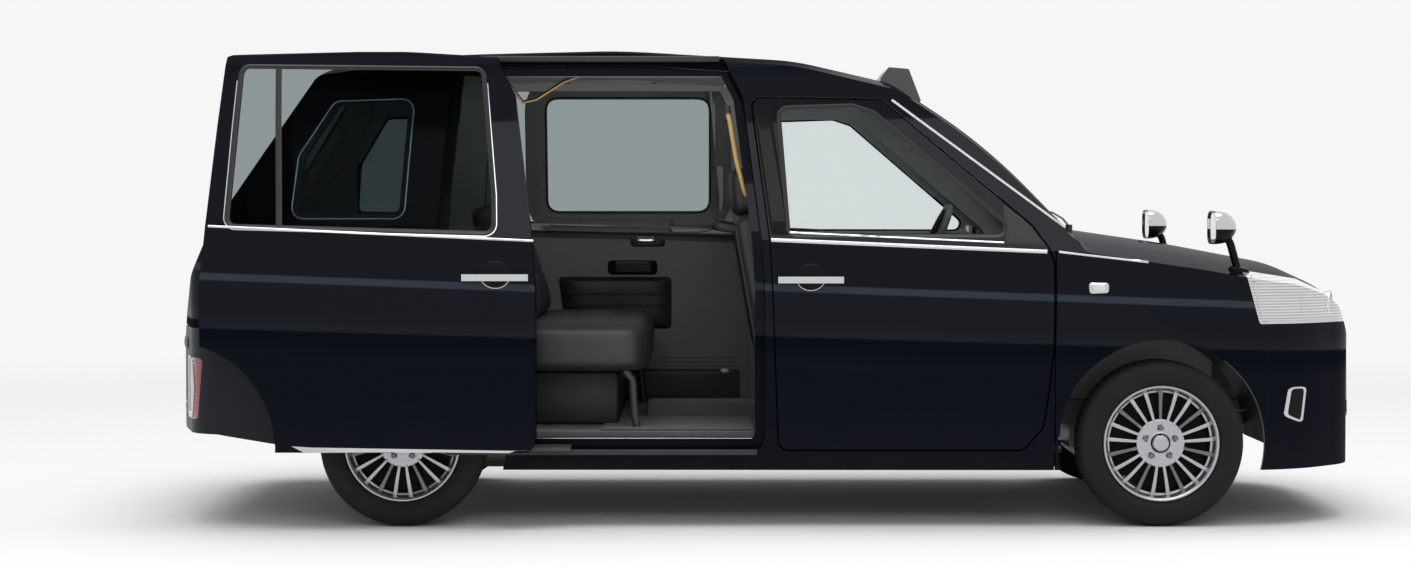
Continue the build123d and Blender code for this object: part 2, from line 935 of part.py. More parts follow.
# Tail: bumper, lamps, tailgate and its glass, quarter glasses
tail_lamp_cut = side_prism(tail_lamp_face, 1) + side_prism(tail_lamp_face, -1)
tail_lamp_middle = slab((-far, far), (-tail_lamp_inner_y, tail_lamp_inner_y), (0, far))
with BuildPart() as tail_zone:
    add(tail_lamp_cut)
    add(tail_lamp_middle, mode=Mode.SUBTRACT)
    add(lamp_inside, mode=Mode.SUBTRACT)
with BuildPart() as rear_bumper:
    add(cabin_wall)
    add(rear_side, mode=Mode.INTERSECT)
    add(tail_zone.part, mode=Mode.SUBTRACT)
    add(side_prism(skirt_face, 1) + side_prism(skirt_face, -1), mode=Mode.SUBTRACT)
finish(rear_bumper.part, "rear_bumper")

tail_edge = side_face(tail_lamp_shares, lamp_corner, grille_fit)
tail_inner_y = tail_lamp_inner_y + grille_fit
with BuildPart() as tail_lamps:
    add(outer_form)
    add(lamp_inside, mode=Mode.SUBTRACT)
    add(side_prism(tail_edge, 1) + side_prism(tail_edge, -1), mode=Mode.INTERSECT)
    add(slab((-far, far), (-tail_inner_y, tail_inner_y), (0, far)), mode=Mode.SUBTRACT)
finish(tail_lamps.part, "tail_lamps")

gate_zone = slab(
    (-far, roof_rear - rear_gap), (-width, width), (rear_bumper_top + rear_gap, far)
)
with BuildPart() as tailgate:
    add(door_wall)
    add(run(front_face(tailgate_shares, window_corner, rear_gap), -far), mode=Mode.INTERSECT)
    add(gate_zone, mode=Mode.INTERSECT)
    add(run(front_face(tailgate_window_shares, window_corner), -far), mode=Mode.SUBTRACT)
    add(
        plate_bracket(bracket_rear_x, bracket_rear_x + bracket_rear_depth, plate_bolt_rear_z, 0)
    )
    add(
        plate_holes(bracket_rear_x, bracket_rear_x + plate_bolt_depth, plate_bolt_rear_z),
        mode=Mode.SUBTRACT,
    )
finish(tailgate.part, "tailgate")
finish(tail_ring.part, "tail_frame")

with BuildPart() as tailgate_glass:
    add(glass_layer)
    add(run(front_face(tailgate_window_shares, window_corner, glass_seat), -far), mode=Mode.INTERSECT)
finish(tailgate_glass.part, "tailgate_glass")

with BuildPart() as quarter_glass:
    add(glass_layer)
    quarter_seat = side_face(quarter_window_shares, window_corner, glass_seat)
    add(side_prism(quarter_seat, 1) + side_prism(quarter_seat, -1), mode=Mode.INTERSECT)
finish(quarter_glass.part, "quarter_glasses")

# Arch liners
with BuildPart() as liners:
    for axle_x, liner_outer in ((front_axle, half_width), (rear_axle_x, floor_half_width)):
        for side in (-1, 1):
            with BuildSketch(Plane.XZ.offset(-side * well_inner)):
                with Locations((axle_x, tyre_radius)):
                    Circle(arch_radius + liner_thickness)
                    Circle(arch_radius, mode=Mode.SUBTRACT)
            extrude(amount=-side * (liner_outer - well_inner))
    split(bisect_by=Plane.XY.offset(tyre_radius), keep=Keep.TOP)
    add(skin_inside, mode=Mode.INTERSECT)
finish(liners.part, "arch_liners")

# Floor with its tunnel
with BuildPart() as floor:
    # Main floor, kick-up, load floor: x range, z range
    for x_range, z_range in (
        ((kick_x - floor_thickness, firewall_x - firewall_thickness), (floor_low, floor_top)),
        ((kick_x - floor_thickness, kick_x), (floor_low, load_floor_top)),
        (
            (rear_bumper_front - floor_tail, kick_x),
            (load_floor_top - floor_thickness, load_floor_top),
        ),
    ):
        add(slab(x_range, (-floor_half_width, floor_half_width), z_range))
    add(
        slab(
            (-tunnel_length, firewall_x - firewall_thickness),
            (-tunnel_half_width, tunnel_half_width),
            (floor_top, floor_top + tunnel_height),
        )
    )
    add(front_wells_wide, mode=Mode.SUBTRACT)
    add(rear_wells_wide, mode=Mode.SUBTRACT)
finish(floor.part, "floor_pan")

# Roof sign and fender mirrors
with BuildPart() as sign:
    sign_face = side_face(roof_sign_shares, sign_corner)
    extrude(sign_face, amount=sign_half_width, both=True)
    add(outer_form, mode=Mode.SUBTRACT)
finish(sign.part, "roof_sign")

with BuildPart() as mirrors:
    for side in (-1, 1):
        head = Plane(
            origin=(mirror_x, side * mirror_y, mirror_z), x_dir=(0, 1, 0), z_dir=(1, 0, 0)
        )
        with BuildSketch(head):
            RectangleRounded(mirror_width, mirror_height, mirror_corner)
        extrude(amount=mirror_length, taper=mirror_taper)
        with BuildSketch(Plane.XY.offset(mirror_foot_z)):
            with Locations((mirror_foot_x, side * mirror_y)):
                RectangleRounded(mirror_foot_length, mirror_foot_width, mirror_foot_corner)
        extrude(amount=mirror_z - mirror_foot_z - mirror_height / 4)
    add(outer_form, mode=Mode.SUBTRACT)
finish(mirrors.part, "fender_mirrors")

# Wheels
rim_profile = [
    (rim_radius + rim_lip, rim_half_width),
    (rim_radius - rim_wall, rim_half_width),
    (rim_radius - 2 * rim_wall, rim_half_width - 2 * rim_lip),
    (rim_bead - 2 * rim_wall, rim_half_width - 4 * rim_lip - rim_wall),
    (rim_bead - 2 * rim_wall, -rim_half_width + rim_lip),
    (rim_radius - rim_wall, -rim_half_width),
    (rim_radius + rim_lip, -rim_half_width),
    (rim_radius + rim_lip, -rim_half_width + rim_wall),
    (rim_radius, -rim_half_width + rim_wall),
    (rim_radius, -rim_half_width + 3 * rim_lip),
    (rim_bead - rim_wall, -rim_half_width + 4 * rim_lip),
    (rim_bead - rim_wall, rim_half_width - 4 * rim_lip),
    (rim_radius, rim_half_width - 3 * rim_lip),
    (rim_radius, rim_half_width - rim_wall),
    (rim_radius + rim_lip, rim_half_width - rim_wall),
]
tyre_half = tyre_width / 2
window_middle = (window_outer + window_inner) / 2
window_wide = 2 * pi * window_outer / spoke_count - spoke_width
window_narrow = 2 * pi * window_inner / spoke_count - spoke_width
window_taper = degrees(
    atan2(window_outer - window_inner, (window_wide - window_narrow) / 2)
)
tyre_profile = [
    (rim_radius + tyre_fit, -rim_half_width + rim_wall + tyre_fit),
    (rim_radius + rim_lip + tyre_fit, -rim_half_width + rim_wall + tyre_fit),
    (rim_radius + tyre_side_share * (tyre_radius - rim_radius), -tyre_half),
    (tyre_radius - tyre_shoulder, -tyre_half),
    (tyre_radius, -tyre_half + tyre_shoulder),
    (tyre_radius, tyre_half - tyre_shoulder),
    (tyre_radius - tyre_shoulder, tyre_half),
    (rim_radius + tyre_side_share * (tyre_radius - rim_radius), tyre_half),
    (rim_radius + rim_lip + tyre_fit, rim_half_width - rim_wall - tyre_fit),
    (rim_radius + tyre_fit, rim_half_width - rim_wall - tyre_fit),
]

# Wheel table: name, axle position, side
wheels = [
    ("front_right", front_axle, -1),
    ("front_left", front_axle, 1),
    ("rear_right", rear_axle_x, -1),
    ("rear_left", rear_axle_x, 1),
]
for wheel_name, axle_x, side in wheels:
    # The wheel's own plane: first axis up, second axis outwards
    centre = (axle_x, side * track / 2, tyre_radius)
    across = Plane(origin=centre, x_dir=(0, 0, 1), z_dir=(side, 0, 0))
    face_plane = Plane(origin=centre, x_dir=(0, 0, 1), z_dir=(0, side, 0))
    spin = Axis(centre, (0, 1, 0))
    with BuildPart() as rim:
        with BuildSketch(across):
            with BuildLine():
                Polyline(*[(r, -w) for r, w in rim_profile], close=True)
            make_face()
        revolve(axis=spin)
        with BuildSketch(face_plane.offset(spoke_plane - hub_thickness)):
            Circle(rim_radius - rim_wall)
            with PolarLocations(window_middle, spoke_count, start_angle=180 / spoke_count):
                Trapezoid(
                    window_wide,
                    window_outer - window_inner,
                    window_taper,
                    rotation=90,
                    mode=Mode.SUBTRACT,
                )
        extrude(amount=spoke_thickness)
        with BuildSketch(face_plane.offset(hub_inner)):
            Circle(hub_radius)
        extrude(amount=spoke_plane - hub_inner)
        with BuildSketch(face_plane.offset(spoke_plane)):
            Circle(cap_radius)
        extrude(amount=cap_height)
        with BuildSketch(face_plane.offset(hub_inner)):
            Circle(spindle_radius + spindle_play)
        extrude(amount=spindle_reach, mode=Mode.SUBTRACT)
    finish(rim.part, f"rim_{wheel_name}")
    with BuildPart() as tyre:
        with BuildSketch(across):
            with BuildLine():
                Polyline(*[(r, -w) for r, w in tyre_profile], close=True)
            make_face()
        revolve(axis=spin)
    finish(tyre.part, f"tyre_{wheel_name}")

# Dashboard with the bore for the steering column, seats and bench
column_axis = Plane(
    origin=(column_x, column_y, column_z),
    x_dir=(0, 1, 0),
    z_dir=(-cos(radians(column_tilt)), 0, sin(radians(column_tilt))),
)
with BuildPart() as dashboard:
    with BuildSketch(Plane.XZ.offset(-dash_half_width)):
        with BuildLine():
            FilletPolyline(
                (dash_rear, dash_top - dash_drop),
                (dash_rear + dash_nose, dash_top),
                (firewall_x - firewall_thickness, dash_top + dash_rise),
                (firewall_x - firewall_thickness, dash_low),
                (dash_rear + dash_nose, dash_low + dash_nose),
                radius=dash_round,
                close=True,
            )
        make_face()
    extrude(amount=2 * dash_half_width)
    with BuildSketch(column_axis.offset(-length)):
        Circle(column_radius + column_play)
    extrude(amount=length, mode=Mode.SUBTRACT)
finish(dashboard.part, "dashboard")


def seat_solid(x_front, y_middle, half_wide, base_z, thick, back_high, back_lean):
    """A cushion with a leaning back joined to it."""
    with BuildPart() as seat:
        with BuildSketch(Plane.XZ.offset(-y_middle - half_wide)):
            with BuildLine():
                back_x = x_front - seat_length
                lean = back_high * tan(radians(back_lean))
                FilletPolyline(
                    (x_front, base_z),
                    (x_front, base_z + thick),
                    (back_x + seat_back_thick, base_z + thick - seat_dip),
                    (back_x + seat_back_thick - lean, base_z + back_high),
                    (back_x - lean, base_z + back_high),
                    (back_x, base_z),
                    radius=seat_round,
                    close=True,
                )
            make_face()
        extrude(amount=2 * half_wide)
    return seat.part


with BuildPart() as front_seats:
    for side in (-1, 1):
        seat = seat_solid(
            seat_front,
            side * seat_offset,
            seat_width / 2,
            seat_base_z,
            seat_thick,
            seat_back_height,
            seat_back_lean,
        )
        add(seat)
        lean = seat_back_height * tan(radians(seat_back_lean))
        head_x = seat_front - seat_length - lean
        add(
            slab(
                (head_x, head_x + headrest_thick),
                (side * seat_offset - headrest_width / 2, side * seat_offset + headrest_width / 2),
                (
                    seat_base_z + seat_back_height - seat_round,
                    seat_base_z + seat_back_height + headrest_height,
                ),
            )
        )
        add(
            slab(
                (seat_front - seat_length, seat_front - seat_round),
                (side * seat_offset - seat_stand, side * seat_offset + seat_stand),
                (floor_top, seat_base_z),
            )
        )
finish(front_seats.part, "front_seats")

bench_wells = wheel_well(rear_axle_x, wide_radius + well_clearance, well_inner, width)
bench_solid = seat_solid(
    bench_front,
    0,
    bench_half_width,
    bench_base_z,
    bench_thick,
    bench_back_height,
    bench_back_lean,
)
with BuildPart() as bench:
    add(bench_solid)
    add(
        slab(
            (bench_front - bench_length, bench_front - bench_stand_back),
            (-bench_stand, bench_stand),
            (floor_top, bench_base_z),
        )
    )
    add(bench_wells, mode=Mode.SUBTRACT)
finish(bench.part, "rear_bench")

# Steering wheel on its column, which stays with the dashboard
with BuildPart() as steering_wheel:
    with BuildSketch(Plane(column_axis.origin, x_dir=column_axis.z_dir, z_dir=column_axis.x_dir)):
        with Locations((0, wheel_ring_radius)):
            Circle(wheel_ring_thick)
    revolve(axis=Axis(column_axis.origin, column_axis.z_dir))
    with BuildSketch(column_axis.offset(-wheel_ring_thick)):
        Circle(wheel_hub_radius)
        for angle in (0, 180, 270):
            with Locations(Rotation(0, 0, angle)):
                with Locations((wheel_ring_radius / 2, 0)):
                    Rectangle(wheel_ring_radius, wheel_spoke)
    extrude(amount=wheel_ring_thick)
    with BuildSketch(column_axis.offset(-column_length)):
        Circle(column_radius)
    extrude(amount=column_length)
finish(steering_wheel.part, "steering_wheel")

# Knuckles, subframe, rear axle, engine, exhaust
kingpin_y = track / 2 - knuckle_offset
for side, name in ((-1, "right"), (1, "left")):
    with BuildPart() as knuckle:
        with BuildSketch(Plane.XY.offset(subframe_low + arm_thick)):
            with Locations((front_axle, side * kingpin_y)):
                Circle(knuckle_boss)
                Circle(kingpin_radius + spindle_play, mode=Mode.SUBTRACT)
        extrude(amount=kingpin_high - subframe_low - arm_thick)
        with BuildSketch(Plane.XZ.offset(-side * (kingpin_y + kingpin_radius))):
            with Locations((front_axle, tyre_radius)):
                Circle(spindle_radius)
        extrude(amount=-side * (track / 2 + spoke_plane - spindle_end - kingpin_y - kingpin_radius))
        with BuildSketch(Plane.XZ.offset(-side * (kingpin_y + knuckle_boss))):
            with Locations((front_axle, tyre_radius)):
                Circle(disc_radius)
        extrude(amount=-side * disc_thick)
    finish(knuckle.part, f"knuckle_{name}")

with BuildPart() as subframe:
    add(
        slab(
            (front_axle - subframe_half_length, front_axle + subframe_half_length),
            (-subframe_half_width, subframe_half_width),
            (subframe_low, subframe_high),
        )
    )
    for side in (-1, 1):
        with BuildSketch(Plane.XY.offset(subframe_low)):
            with BuildLine():
                Polyline(
                    (front_axle - arm_root_half_width, side * (subframe_half_width - arm_thick)),
                    (front_axle + arm_root_half_width, side * (subframe_half_width - arm_thick)),
                    (front_axle + arm_end_half_width, side * kingpin_y),
                    (front_axle - arm_end_half_width, side * kingpin_y),
                    close=True,
                )
            make_face()
            with Locations((front_axle, side * kingpin_y)):
                Circle(arm_end_half_width)
        extrude(amount=arm_thick - arm_play)
        with BuildSketch(Plane.XY.offset(subframe_low)):
            with Locations((front_axle, side * kingpin_y)):
                Circle(kingpin_radius)
        extrude(amount=kingpin_high - subframe_low)
finish(subframe.part, "front_subframe")

with BuildPart() as rear_axle:
    with BuildSketch(Plane.XZ.offset(-beam_half_length)):
        with Locations((rear_axle_x, tyre_radius)):
            Circle(beam_radius)
    extrude(amount=2 * beam_half_length)
    with BuildSketch(Plane.XZ.offset(-(track / 2 + spoke_plane - spindle_end))):
        with Locations((rear_axle_x, tyre_radius)):
            Circle(spindle_radius)
    extrude(amount=2 * (track / 2 + spoke_plane - spindle_end))
    for side in (-1, 1):
        with BuildSketch(Plane.XZ.offset(-side * beam_half_length)):
            with Locations((rear_axle_x, tyre_radius)):
                Circle(disc_radius)
        extrude(amount=-side * disc_thick)
        add(
            slab(
                (rear_axle_x, kick_x - floor_thickness),
                sorted(side * (trailing_y + edge * trailing_thick / 2) for edge in (-1, 1)),
                (tyre_radius - trailing_thick / 2, tyre_radius + trailing_thick / 2),
            )
        )
finish(rear_axle.part, "rear_axle")

with BuildPart() as engine:
    add(
        slab(
            (front_axle - engine_half_length, front_axle + engine_half_length),
            (-engine_half_width, engine_half_width),
            (subframe_high, engine_high),
        )
    )
finish(engine.part, "engine_block")

with BuildPart() as exhaust:
    with BuildLine() as pipe_line:
        FilletPolyline(
            (front_axle - engine_half_length, exhaust_front_y, exhaust_z),
            (pipe_bend_x, exhaust_front_y, exhaust_z),
            (pipe_bend_rear_x, exhaust_y, exhaust_z),
            (rear_axle_x + pipe_rear, exhaust_y, exhaust_z),
            radius=pipe_bend,
        )
    with BuildSketch(Plane(pipe_line.line @ 0, z_dir=pipe_line.line % 0)):
        Circle(exhaust_radius)
    sweep()
    with BuildSketch(Plane.YZ.offset(rear_axle_x + pipe_rear)):
        with Locations((exhaust_y, exhaust_z)):
            Circle(muffler_radius)
    extrude(amount=muffler_length)
    for x in (hanger_x, rear_axle_x + pipe_rear + muffler_length / 2):
        add(
            slab(
                (x - hanger_thick / 2, x + hanger_thick / 2),
                (exhaust_y - hanger_thick / 2, exhaust_y + hanger_thick / 2),
                (exhaust_z, floor_low),
            )
        )
finish(exhaust.part, "exhaust")

# Front rails with the bumper beam, the tie bar under the bonnet's front and the subframe's legs
rail_outer = well_inner - rail_play
rail_inner = rail_outer - rail_width
tie_form = body_form(skin + seal_gap)
with BuildPart() as rails:
    for side in (-1, 1):
        across = sorted((side * rail_inner, side * rail_outer))
        add(slab((firewall_x, bumper_beam_x), across, (rail_low, rail_high)))
        add(slab((tie_bar_x, tie_bar_x + bumper_beam_depth), across, (rail_low, tie_bar_low + rail_leg)))
        for x in (
            front_axle - subframe_half_length,
            front_axle + subframe_half_length - rail_leg,
        ):
            under = sorted((side * rail_inner, side * subframe_half_width))
            add(slab((x, x + rail_leg), under, (subframe_high, rail_low)))
    add(
        slab(
            (bumper_beam_x - bumper_beam_depth, bumper_beam_x),
            (-bumper_beam_half_width, bumper_beam_half_width),
            (rail_low, rail_high),
        )
    )
    add(
        slab(
            (tie_bar_x, tie_bar_x + bumper_beam_depth),
            (-tie_bar_half_width, tie_bar_half_width),
            (tie_bar_low, far),
        )
    )
    add(tie_form, mode=Mode.INTERSECT)
    add(headlamps.part, mode=Mode.SUBTRACT)
finish(rails.part, "front_rails")

# Roller arms of the sliding door: from the frame to the door's inner face
arm_outer = inside_half + seal_gap + slide_out
door_nose = rear_door_shares[0][0] * half_length - slide_back
rear_door_low = rear_door_shares[0][1] * height
with BuildPart() as arms:
    add(
        slab(
            (door_nose - arm_width / 3, door_nose + 2 * arm_width / 3),
            (-arm_outer, -inside_half),
            (rear_door_low + door_gap, rear_door_low + door_gap + arm_height),
        )
    )
    add(
        slab(
            (centre_arm_x, centre_arm_x + arm_width / 3),
            (-arm_outer, -inside_half),
            (centre_arm_z, centre_arm_z + centre_arm_height),
        )
    )
    add(
        slab(
            (upper_arm_x - arm_width / 2, upper_arm_x),
            (-upper_arm_outer, -upper_arm_inner),
            (upper_arm_z, upper_arm_z + arm_height),
        )
    )
    add(right_frame, mode=Mode.SUBTRACT)
    add(sliding_door, mode=Mode.SUBTRACT)
finish(arms.part, "sliding_door_arms")
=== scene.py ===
import bmesh
import bpy
import json
import math
from mathutils import Matrix, Vector
from mathutils.bvhtree import BVHTree
from mathutils.geometry import convex_hull_2d


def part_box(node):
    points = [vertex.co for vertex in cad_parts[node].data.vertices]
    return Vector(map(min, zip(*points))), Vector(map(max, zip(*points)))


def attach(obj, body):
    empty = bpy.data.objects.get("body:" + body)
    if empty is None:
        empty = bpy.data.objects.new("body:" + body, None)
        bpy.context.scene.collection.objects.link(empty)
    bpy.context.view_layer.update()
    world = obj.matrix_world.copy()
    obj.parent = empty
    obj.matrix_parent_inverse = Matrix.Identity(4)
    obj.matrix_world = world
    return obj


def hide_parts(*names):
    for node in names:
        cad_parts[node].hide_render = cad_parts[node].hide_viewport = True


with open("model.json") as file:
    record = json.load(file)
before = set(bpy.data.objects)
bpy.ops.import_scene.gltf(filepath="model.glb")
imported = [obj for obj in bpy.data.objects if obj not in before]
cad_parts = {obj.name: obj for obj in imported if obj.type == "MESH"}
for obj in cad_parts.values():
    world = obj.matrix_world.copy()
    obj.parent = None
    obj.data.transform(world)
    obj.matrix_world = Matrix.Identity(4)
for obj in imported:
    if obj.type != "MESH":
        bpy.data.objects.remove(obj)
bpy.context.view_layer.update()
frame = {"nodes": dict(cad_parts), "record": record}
nodes = frame["nodes"]
scene = bpy.context.scene
print("frame loaded:", len(nodes), "nodes")


# Shader maths

class Sock:
    def __init__(self, look, out):
        self.look, self.out = look, out

    def __add__(self, other):
        return self.look.maths("ADD", self, other)

    def __radd__(self, other):
        return self.look.maths("ADD", other, self)

    def __sub__(self, other):
        return self.look.maths("SUBTRACT", self, other)

    def __rsub__(self, other):
        return self.look.maths("SUBTRACT", other, self)

    def __mul__(self, other):
        return self.look.maths("MULTIPLY", self, other)

    def __rmul__(self, other):
        return self.look.maths("MULTIPLY", other, self)

    def over(self, other):
        return self.look.maths("GREATER_THAN", self, other)


class Look:
    def __init__(self, name):
        self.material = bpy.data.materials.new(name)
        self.material.use_nodes = True
        self.tree = self.material.node_tree
        self.tree.nodes.clear()
        self.output = self.tree.nodes.new("ShaderNodeOutputMaterial")

    def node(self, kind, settings=None, out=0, **sockets):
        made = self.tree.nodes.new("ShaderNode" + kind)
        for key, value in (settings or {}).items():
            if key == "stops":
                ramp = made.color_ramp.elements
                while len(ramp) < len(value):
                    ramp.new(0.5)
                for stop, (place, color) in zip(ramp, value):
                    stop.position, stop.color = place, color
            else:
                setattr(made, key, value)
        for key, value in sockets.items():
            target = made.inputs[int(key[1:])] if key[1:].isdigit() else made.inputs[key.replace("_", " ")]
            if isinstance(value, Sock):
                self.tree.links.new(value.out, target)
            else:
                target.default_value = value
        return Sock(self, made.outputs[out])

    def maths(self, operation, a, b):
        return self.node("Math", {"operation": operation}, i0=a, i1=b)

    def place(self):
        return self.node("TexCoord", out="Object")

    def noise(self, scale, detail):
        return self.node("TexNoise", Vector=self.place(), Scale=scale, Detail=detail)

    def mixColor(self, mask, a, b):
        return self.node("Mix", {"data_type": "RGBA"}, out=2, i0=mask, i6=a, i7=b)

    def ease(self, value, start, end, low, high):
        return self.node("MapRange", {"interpolation_type": "SMOOTHSTEP"}, i0=value, i1=start, i2=end,
                         i3=low, i4=high)

    def bump(self, height, distance, strength):
        return self.node("Bump", Height=height, Distance=distance, Strength=strength)

    def split(self, vector):
        made = self.tree.nodes.new("ShaderNodeSeparateXYZ")
        self.tree.links.new(vector.out, made.inputs[0])
        return [Sock(self, made.outputs[i]) for i in range(3)]

    def shade(self, **sockets):
        return self.close(self.node("BsdfPrincipled", **sockets))

    def close(self, shader):
        self.tree.links.new(shader.out, self.output.inputs["Surface"])
        return self.material


# Finishes

paintValues = {
    # crease is the colour of a painted highlight, a lighter band along the side's character crease
    "color": (0.0034, 0.0052, 0.0102, 1), "crease": (0.040, 0.052, 0.072, 1), "dust": (0.30, 0.28, 0.25, 1),
    "inner": (0.27, 0.278, 0.288, 1), "upperTrim": (0.72, 0.73, 0.73, 1), "headliner": (0.62, 0.62, 0.61, 1),
    "trimLine": 1.045, "ceiling": 1.60, "dustTop": 0.42, "gateFrom": 1.75, "noseFrom": 1.2, "underFrom": 1.2,
    # the gloss values are coat strengths by height that paint the side's reflection bands: painted shade low
    # down, painted reflection above the shoulder line
    "rough": 0.12, "topGloss": 0.025, "gloss": 0.20, "darkGloss": 0.015, "lowGloss": 0.075,
    "roofFrom": 1.62, "roofTo": 1.70,
    "creaseAt": 0.8667, "creaseFall": 0.0365, "creaseHalf": 0.0125, "creaseSoft": 0.004,
    "shoulderAt": 0.690, "shoulderFall": 0.029,
    "gripAt": 0.853, "gripColor": (0.60, 0.61, 0.62, 1), "openBack": 0.815, "openOut": 0.125,
}


def paintLook(name, standsOpen=False):
    v = paintValues
    look = Look(name)
    facing = look.node("TexCoord", out="Normal")
    x, y, z = look.split(look.place())
    nx, ny, nz = look.split(facing)
    outward = ny * look.node("Math", {"operation": "SIGN"}, i0=y)
    inner = (outward * -1).over(0.35)
    rearInner = nx.over(0.5) * (x * -1).over(v["gateFrom"])
    under = (nz * -1).over(0.5) * z.over(v["underFrom"])
    backOfNose = (nx * -1).over(0.6) * x.over(v["noseFrom"])
    trim = look.node("Clamp", i0=inner + rearInner + under + backOfNose)
    upper = z.over(v["trimLine"]) * (v["noseFrom"] - x).over(0)
    speckle = look.noise(900, 2)
    grain = look.noise(420, 2)
    inside = look.mixColor(upper, v["inner"], v["upperTrim"])
    inside = look.mixColor(z.over(v["ceiling"]), inside, v["headliner"])
    dust = look.node("Clamp", i0=(v["dustTop"] - z) * 2.2) * look.noise(9, 6)
    outside = look.mixColor(dust * 0.05, v["color"], v["dust"])
    along = x + (v["openBack"] if standsOpen else 0)  # an open door carries its lines with it
    # The band along the side's character crease gets a lighter blue-grey colour: a painted highlight that
    # stands for the reflection the crease catches.
    creaseLine = v["creaseAt"] - along * v["creaseFall"]
    offCrease = look.node("Math", {"operation": "ABSOLUTE"}, i0=z - creaseLine)
    creaseOut, creaseIn = v["creaseHalf"] + v["creaseSoft"], v["creaseHalf"] - v["creaseSoft"]
    crease = look.ease(offCrease, creaseOut, creaseIn, 0.0, 1.0) * outward.over(0.5)
    outside = look.mixColor(crease * 0.8, outside, v["crease"])
    gripFrom = v["gripAt"] + (v["openOut"] if standsOpen else 0)
    grip = look.node("Math", {"operation": "ABSOLUTE"}, i0=y).over(gripFrom)
    color = look.mixColor(grip, look.mixColor(trim, outside, inside), v["gripColor"])
    rough = v["rough"] + dust * 0.10 + trim * 0.55
    # The coat is set by height to paint the side's reflection bands: a weak coat just under the shoulder
    # line is painted shade, a stronger coat just above it is a painted reflection, and the roof top gets
    # little coat.
    rise = z - (v["shoulderAt"] - along * v["shoulderFall"])
    low = look.ease(rise, -0.10, -0.03, v["lowGloss"], v["darkGloss"])
    side = look.ease(rise, -0.006, 0.006, 0.0, 1.0)
    high = look.ease(rise, 0.0, 0.07, v["gloss"] * 1.35, v["gloss"])
    top = look.ease(z, v["roofFrom"], v["roofTo"], 0.0, 1.0)
    paintedReflection = low * (1 - side) + high * side
    paintedReflection = paintedReflection * (1 - top) + top * v["topGloss"]
    bump = look.bump(speckle * (1 - trim) * 0.1 + grain * trim, 0.0004, 0.5)
    coat = paintedReflection * (1 - trim) * (1 - grip)
    return look.shade(Base_Color=color, Roughness=rough, Metallic=grip, Coat_Weight=coat,
                      Coat_Roughness=0.02, Normal=bump, IOR=1.5, Specular_IOR_Level=0.0)


def shaded(color, share):
    return tuple(min(c * share, 1) for c in color[:3]) + (1,)


def glassLook(name, color, tint):
    look = Look(name)
    gloss = look.node("BsdfPrincipled", Base_Color=color, Roughness=0.02, IOR=1.5)
    through = look.node("BsdfTransparent", Color=tint)
    edge = look.node("LayerWeight", {}, "Fresnel", Blend=0.20)
    fac = look.node("Clamp", i0=edge * 0.6 + look.noise(3, 2) * 0.01)
    return look.close(look.node("MixShader", i0=fac, i1=through, i2=gloss))


def plainLook(name, color, rough, metal=0.0, grain=0.0, scale=400.0, spread=0.12, coat=0.0, shine=0.5):
    look = Look(name)
    broad = look.noise(14, 5)
    fine = look.noise(scale, 3)
    tone = look.mixColor(broad, shaded(color, 1 - spread), shaded(color, 1 + spread))
    return look.shade(Base_Color=tone, Roughness=rough - 0.08 + broad * 0.16, Metallic=metal,
                      Normal=look.bump(fine, grain, 0.6), Coat_Weight=coat, Specular_IOR_Level=shine)


def leatherLook(name, color):
    look = Look(name)
    cells = look.node("TexVoronoi", {"feature": "DISTANCE_TO_EDGE"}, Vector=look.place(), Scale=420.0)
    crease = look.noise(28, 4)
    tone = look.mixColor(crease, shaded(color, 0.75), color)
    height = cells * 0.7 + crease * 0.6
    return look.shade(Base_Color=tone, Roughness=0.38 + crease * 0.2, Normal=look.bump(height, 0.0009, 0.7))


def carpetLook(name, color):
    look = Look(name)
    pile = look.noise(1300, 4)
    wear = look.noise(6, 4)
    tone = look.mixColor(pile * 0.6 + wear * 0.4, shaded(color, 0.5), color)
    return look.shade(Base_Color=tone, Roughness=0.95, Sheen_Weight=0.2, Normal=look.bump(pile, 0.002, 0.9))


def tyreLook(name):
    look = Look(name)
    fine = look.noise(500, 3)
    broad = look.noise(10, 5)
    tone = look.mixColor(broad, (0.011, 0.0115, 0.012, 1), (0.021, 0.0215, 0.022, 1))
    return look.shade(Base_Color=tone, Roughness=0.62 + broad * 0.2, Normal=look.bump(fine, 0.0004, 0.6),
                      Specular_IOR_Level=0.15)


def lampLook(name, color, scale, clear):
    look = Look(name)
    bands = {"wave_type": "BANDS", "bands_direction": "Z"}
    ribs = look.node("TexWave", bands, Vector=look.place(), Scale=scale)
    tone = look.mixColor(ribs, shaded(color, 0.5), color)
    gloss = look.node("BsdfPrincipled", Base_Color=tone, Roughness=0.08, IOR=1.5,
                      Normal=look.bump(ribs, 0.001, 0.4), Coat_Weight=1.0)
    through = look.node("BsdfTransparent", Color=(0.9, 0.92, 0.93, 1))
    edge = look.node("LayerWeight", {}, "Fresnel", Blend=0.3)
    fac = look.node("Clamp", i0=edge * 0.8 + (1 - clear))
    return look.close(look.node("MixShader", i0=fac, i1=through, i2=gloss))


